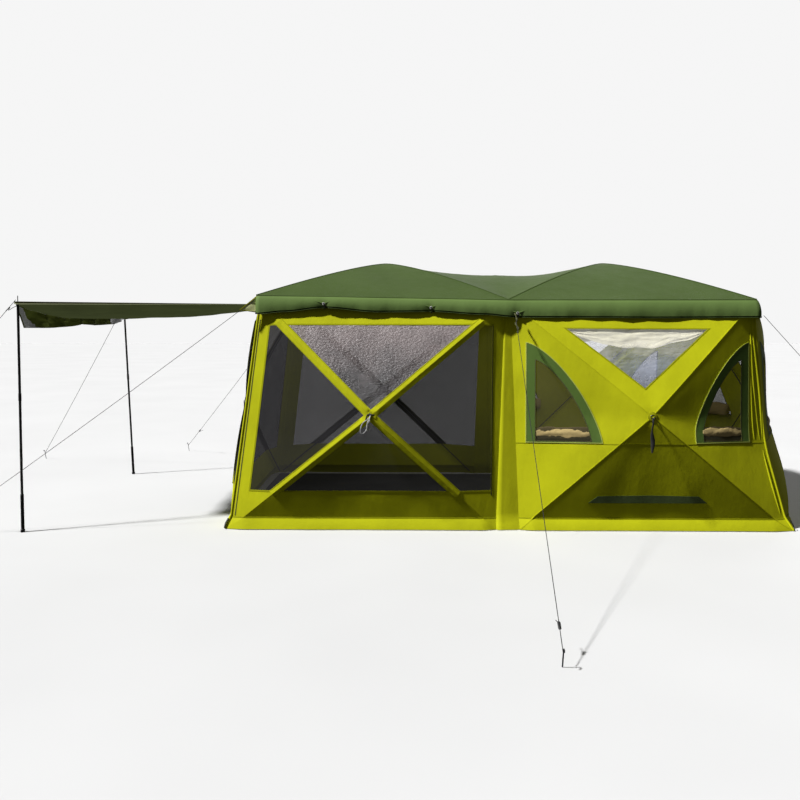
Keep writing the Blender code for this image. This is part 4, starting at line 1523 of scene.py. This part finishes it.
def roof_poles(room, name):
    corners = {"front_left": (-1, -1), "front_right": (1, -1), "back_right": (1, 1), "back_left": (-1, 1)}
    near, far = PILLAR_TOP, EAVE_HALF_WIDTH if room < 0 else EAVE_HALF_WIDTH_RIGHT
    middle_x = room * (near + far) / 2
    half_x = (far - near) / 2
    for tag, (sx, sy) in corners.items():
        path = []
        for share in ROD_SHARES:
            rise = ROOF_POP * (1 - max(share, APEX_SHARE) ** ROOF_BOW)
            x, y = middle_x + sx * half_x * share, sy * EAVE_HALF_DEPTH * share
            path.append(Vector((x, y, EAVE_HEIGHT + rise - POLE_DEPTH)))
        start = Vector((middle_x + sx * half_x, sy * EAVE_HALF_DEPTH, 0))
        rod(f"{name}_pole_{tag}", path, f"{name}_hub", start, Vector((middle_x, 0, 0)))


roof_poles(-1, "roof_a")
roof_poles(1, "roof_b")


def hub_cap(panel):
    """The stitched patch and the outer disc that clamp the cloth to the hub."""
    centre = panel.point(*panel.centre)
    n = panel.normal
    side = n.cross(UP).normalized()
    top = side.cross(n)
    sides = 24
    rings = (
        (0.034, 0.001), (0.033, 0.004), (0.026, 0.006), (0.012, 0.009), (0.010, 0.006), (0.004, 0.006),
    )  # radius and height
    points = []
    for radius, out in rings:
        points += circle(centre + n * out, side * radius, top * radius, sides)
    faces = [(d, a, b, c) for a, b, c, d in tube_faces(len(rings), sides)]
    faces.append(tuple(range((len(rings) - 1) * sides, len(rings) * sides)))
    cap = new_mesh(f"{panel.name}_hub_cap", points, faces, "lime_hem", panel.body)
    cap.data.set_sharp_from_angle(angle=math.radians(40))
    return centre, n, side, top


def pull_strap(panel):
    """The webbing pull on the outside of the hub, with a ring at its root and a folded end."""
    centre, n, side, top = hub_cap(panel)
    path = circle(centre + n * 0.016 - top * 0.004, side * 0.014, top * 0.014, 20)
    section = round_section(0.0028, 8)
    sweep(f"{panel.name}_pull_ring", path, section, "peg", up=n, closed=True, body=panel.body)
    path = smooth_path([
        centre + n * 0.016 + top * -0.014, centre + n * 0.030 - UP * 0.05,
        centre + n * 0.026 - UP * 0.12 + side * 0.006, centre + n * 0.020 - UP * 0.19 + side * -0.004,
        centre + n * 0.030 - UP * 0.27 + side * 0.002,
    ], 8)
    sweep(
        f"{panel.name}_pull_strap", path, flat_section(0.022, 0.003), "web", up=n, body=panel.body,
        scale=lambda t: 0.55 + 0.9 * max(0.0, math.sin(max(0.0, t - 0.45) / 0.55 * math.pi)) ** 1.2,
    )


def cord_loops(panel):
    """Two loops of silver cord that hang from the hub, for pulling it out, and the tie that holds them."""
    centre, n, side, top = hub_cap(panel)
    for k, (reach, swing) in enumerate(((0.10, 0.055), (0.085, 0.02))):
        path = smooth_path([
            centre + n * 0.012 + top * 0.004,
            centre + n * 0.03 + top * -0.02 + side * swing * 0.3,
            centre + n * 0.03 - top * reach * 0.6 + side * swing * 1.1,
            centre + n * 0.026 - top * reach * 1.2 + side * swing * 1.35,
            centre + n * 0.02 - top * reach * 1.25 + side * swing * 0.9,
            centre + n * 0.022 - top * reach * 0.8 + side * swing * 0.35,
            centre + n * 0.014 - top * 0.01 + side * 0.006,
        ], 6)
        section = round_section(0.0032, 8)
        sweep(f"{panel.name}_cord_loop_{k}", path, section, "silver_cord", up=n, body=panel.body)
    for k, (a, b) in enumerate((((-0.03, 0.006), (0.012, 0.016)), ((0.006, -0.002), (0.034, -0.03)))):
        path = smooth_path([
            centre + n * 0.010 + side * a[0] + top * a[1],
            centre + n * 0.020 + side * (a[0] + b[0]) / 2 + top * 0.008,
            centre + n * 0.010 + side * b[0] + top * b[1],
        ], 6)
        sweep(f"{panel.name}_hub_tie_{k}", path, flat_section(0.012, 0.004), "web", up=n, body=panel.body)


cord_loops(front_a)
cord_loops(left)
pull_strap(back_a)
pull_strap(front_b)
pull_strap(back_b)
pull_strap(right)

dress("groundsheet", "floor")

# ---------------------------------------------------------------- floor and light

FLOOR_HALF = 60.0
floor_mat = Shader("studio_floor", 0.9)
floor_mat.tint(floor_mat.noise(0.6, 2.0), [(0.3, (0.61, 0.61, 0.61)), (0.7, (0.64, 0.64, 0.64))])
floor_mesh = bpy.data.meshes.new("studio_floor")
floor_corners = [(x * FLOOR_HALF, y * FLOOR_HALF, -0.001) for x, y in ((-1, -1), (1, -1), (1, 1), (-1, 1))]
floor_mesh.from_pydata(floor_corners, [], [(0, 1, 2, 3)])
floor_mesh.materials.append(floor_mat.mat)
studio_floor = add_object("studio_floor", floor_mesh)
studio_floor.visible_diffuse = False  # a floor this pale would light all the facets alike
studio_floor.visible_glossy = False

world = bpy.data.worlds.new("studio")
bpy.context.scene.world = world
world.use_nodes = True
nodes, links = world.node_tree.nodes, world.node_tree.links
ambient = nodes["Background"]
backdrop = nodes.new("ShaderNodeBackground")
for background, strength in ((ambient, 0.07), (backdrop, 0.92)):
    background.inputs["Color"].default_value = (1.0, 1.0, 1.0, 1.0)
    background.inputs["Strength"].default_value = strength
either = nodes.new("ShaderNodeMixShader")
links.new(nodes.new("ShaderNodeLightPath").outputs["Is Camera Ray"], either.inputs["Fac"])
links.new(ambient.outputs["Background"], either.inputs[1])
links.new(backdrop.outputs["Background"], either.inputs[2])
links.new(either.outputs["Shader"], nodes["World Output"].inputs["Surface"])


def light(name, kind, energy):
    data = bpy.data.lights.new(name, kind)
    data.energy = energy
    return add_object(name, data)


for lamp_name, strength, spread, towards in (
    ("key", 5.6, 4, (-0.628, -0.203, 0.75)), ("back_fill", 1.0, 50, (0.35, 1.0, 0.25)),
):
    lamp = light(lamp_name, "SUN", strength)
    lamp.data.angle = math.radians(spread)
    lamp.rotation_mode = "QUATERNION"
    lamp.rotation_quaternion = Vector(towards).to_track_quat("Z", "Y")
under_fly = light("under_fly", "AREA", 20.0)  # the daylight that the thin cloth lets through
under_fly.data.shape = "RECTANGLE"
under_fly.data.size, under_fly.data.size_y = 3.3, 1.5
under_fly.location = (0, 0, 1.66)
under_fly.visible_camera = False
bpy.context.scene.view_settings.view_transform = "Standard"
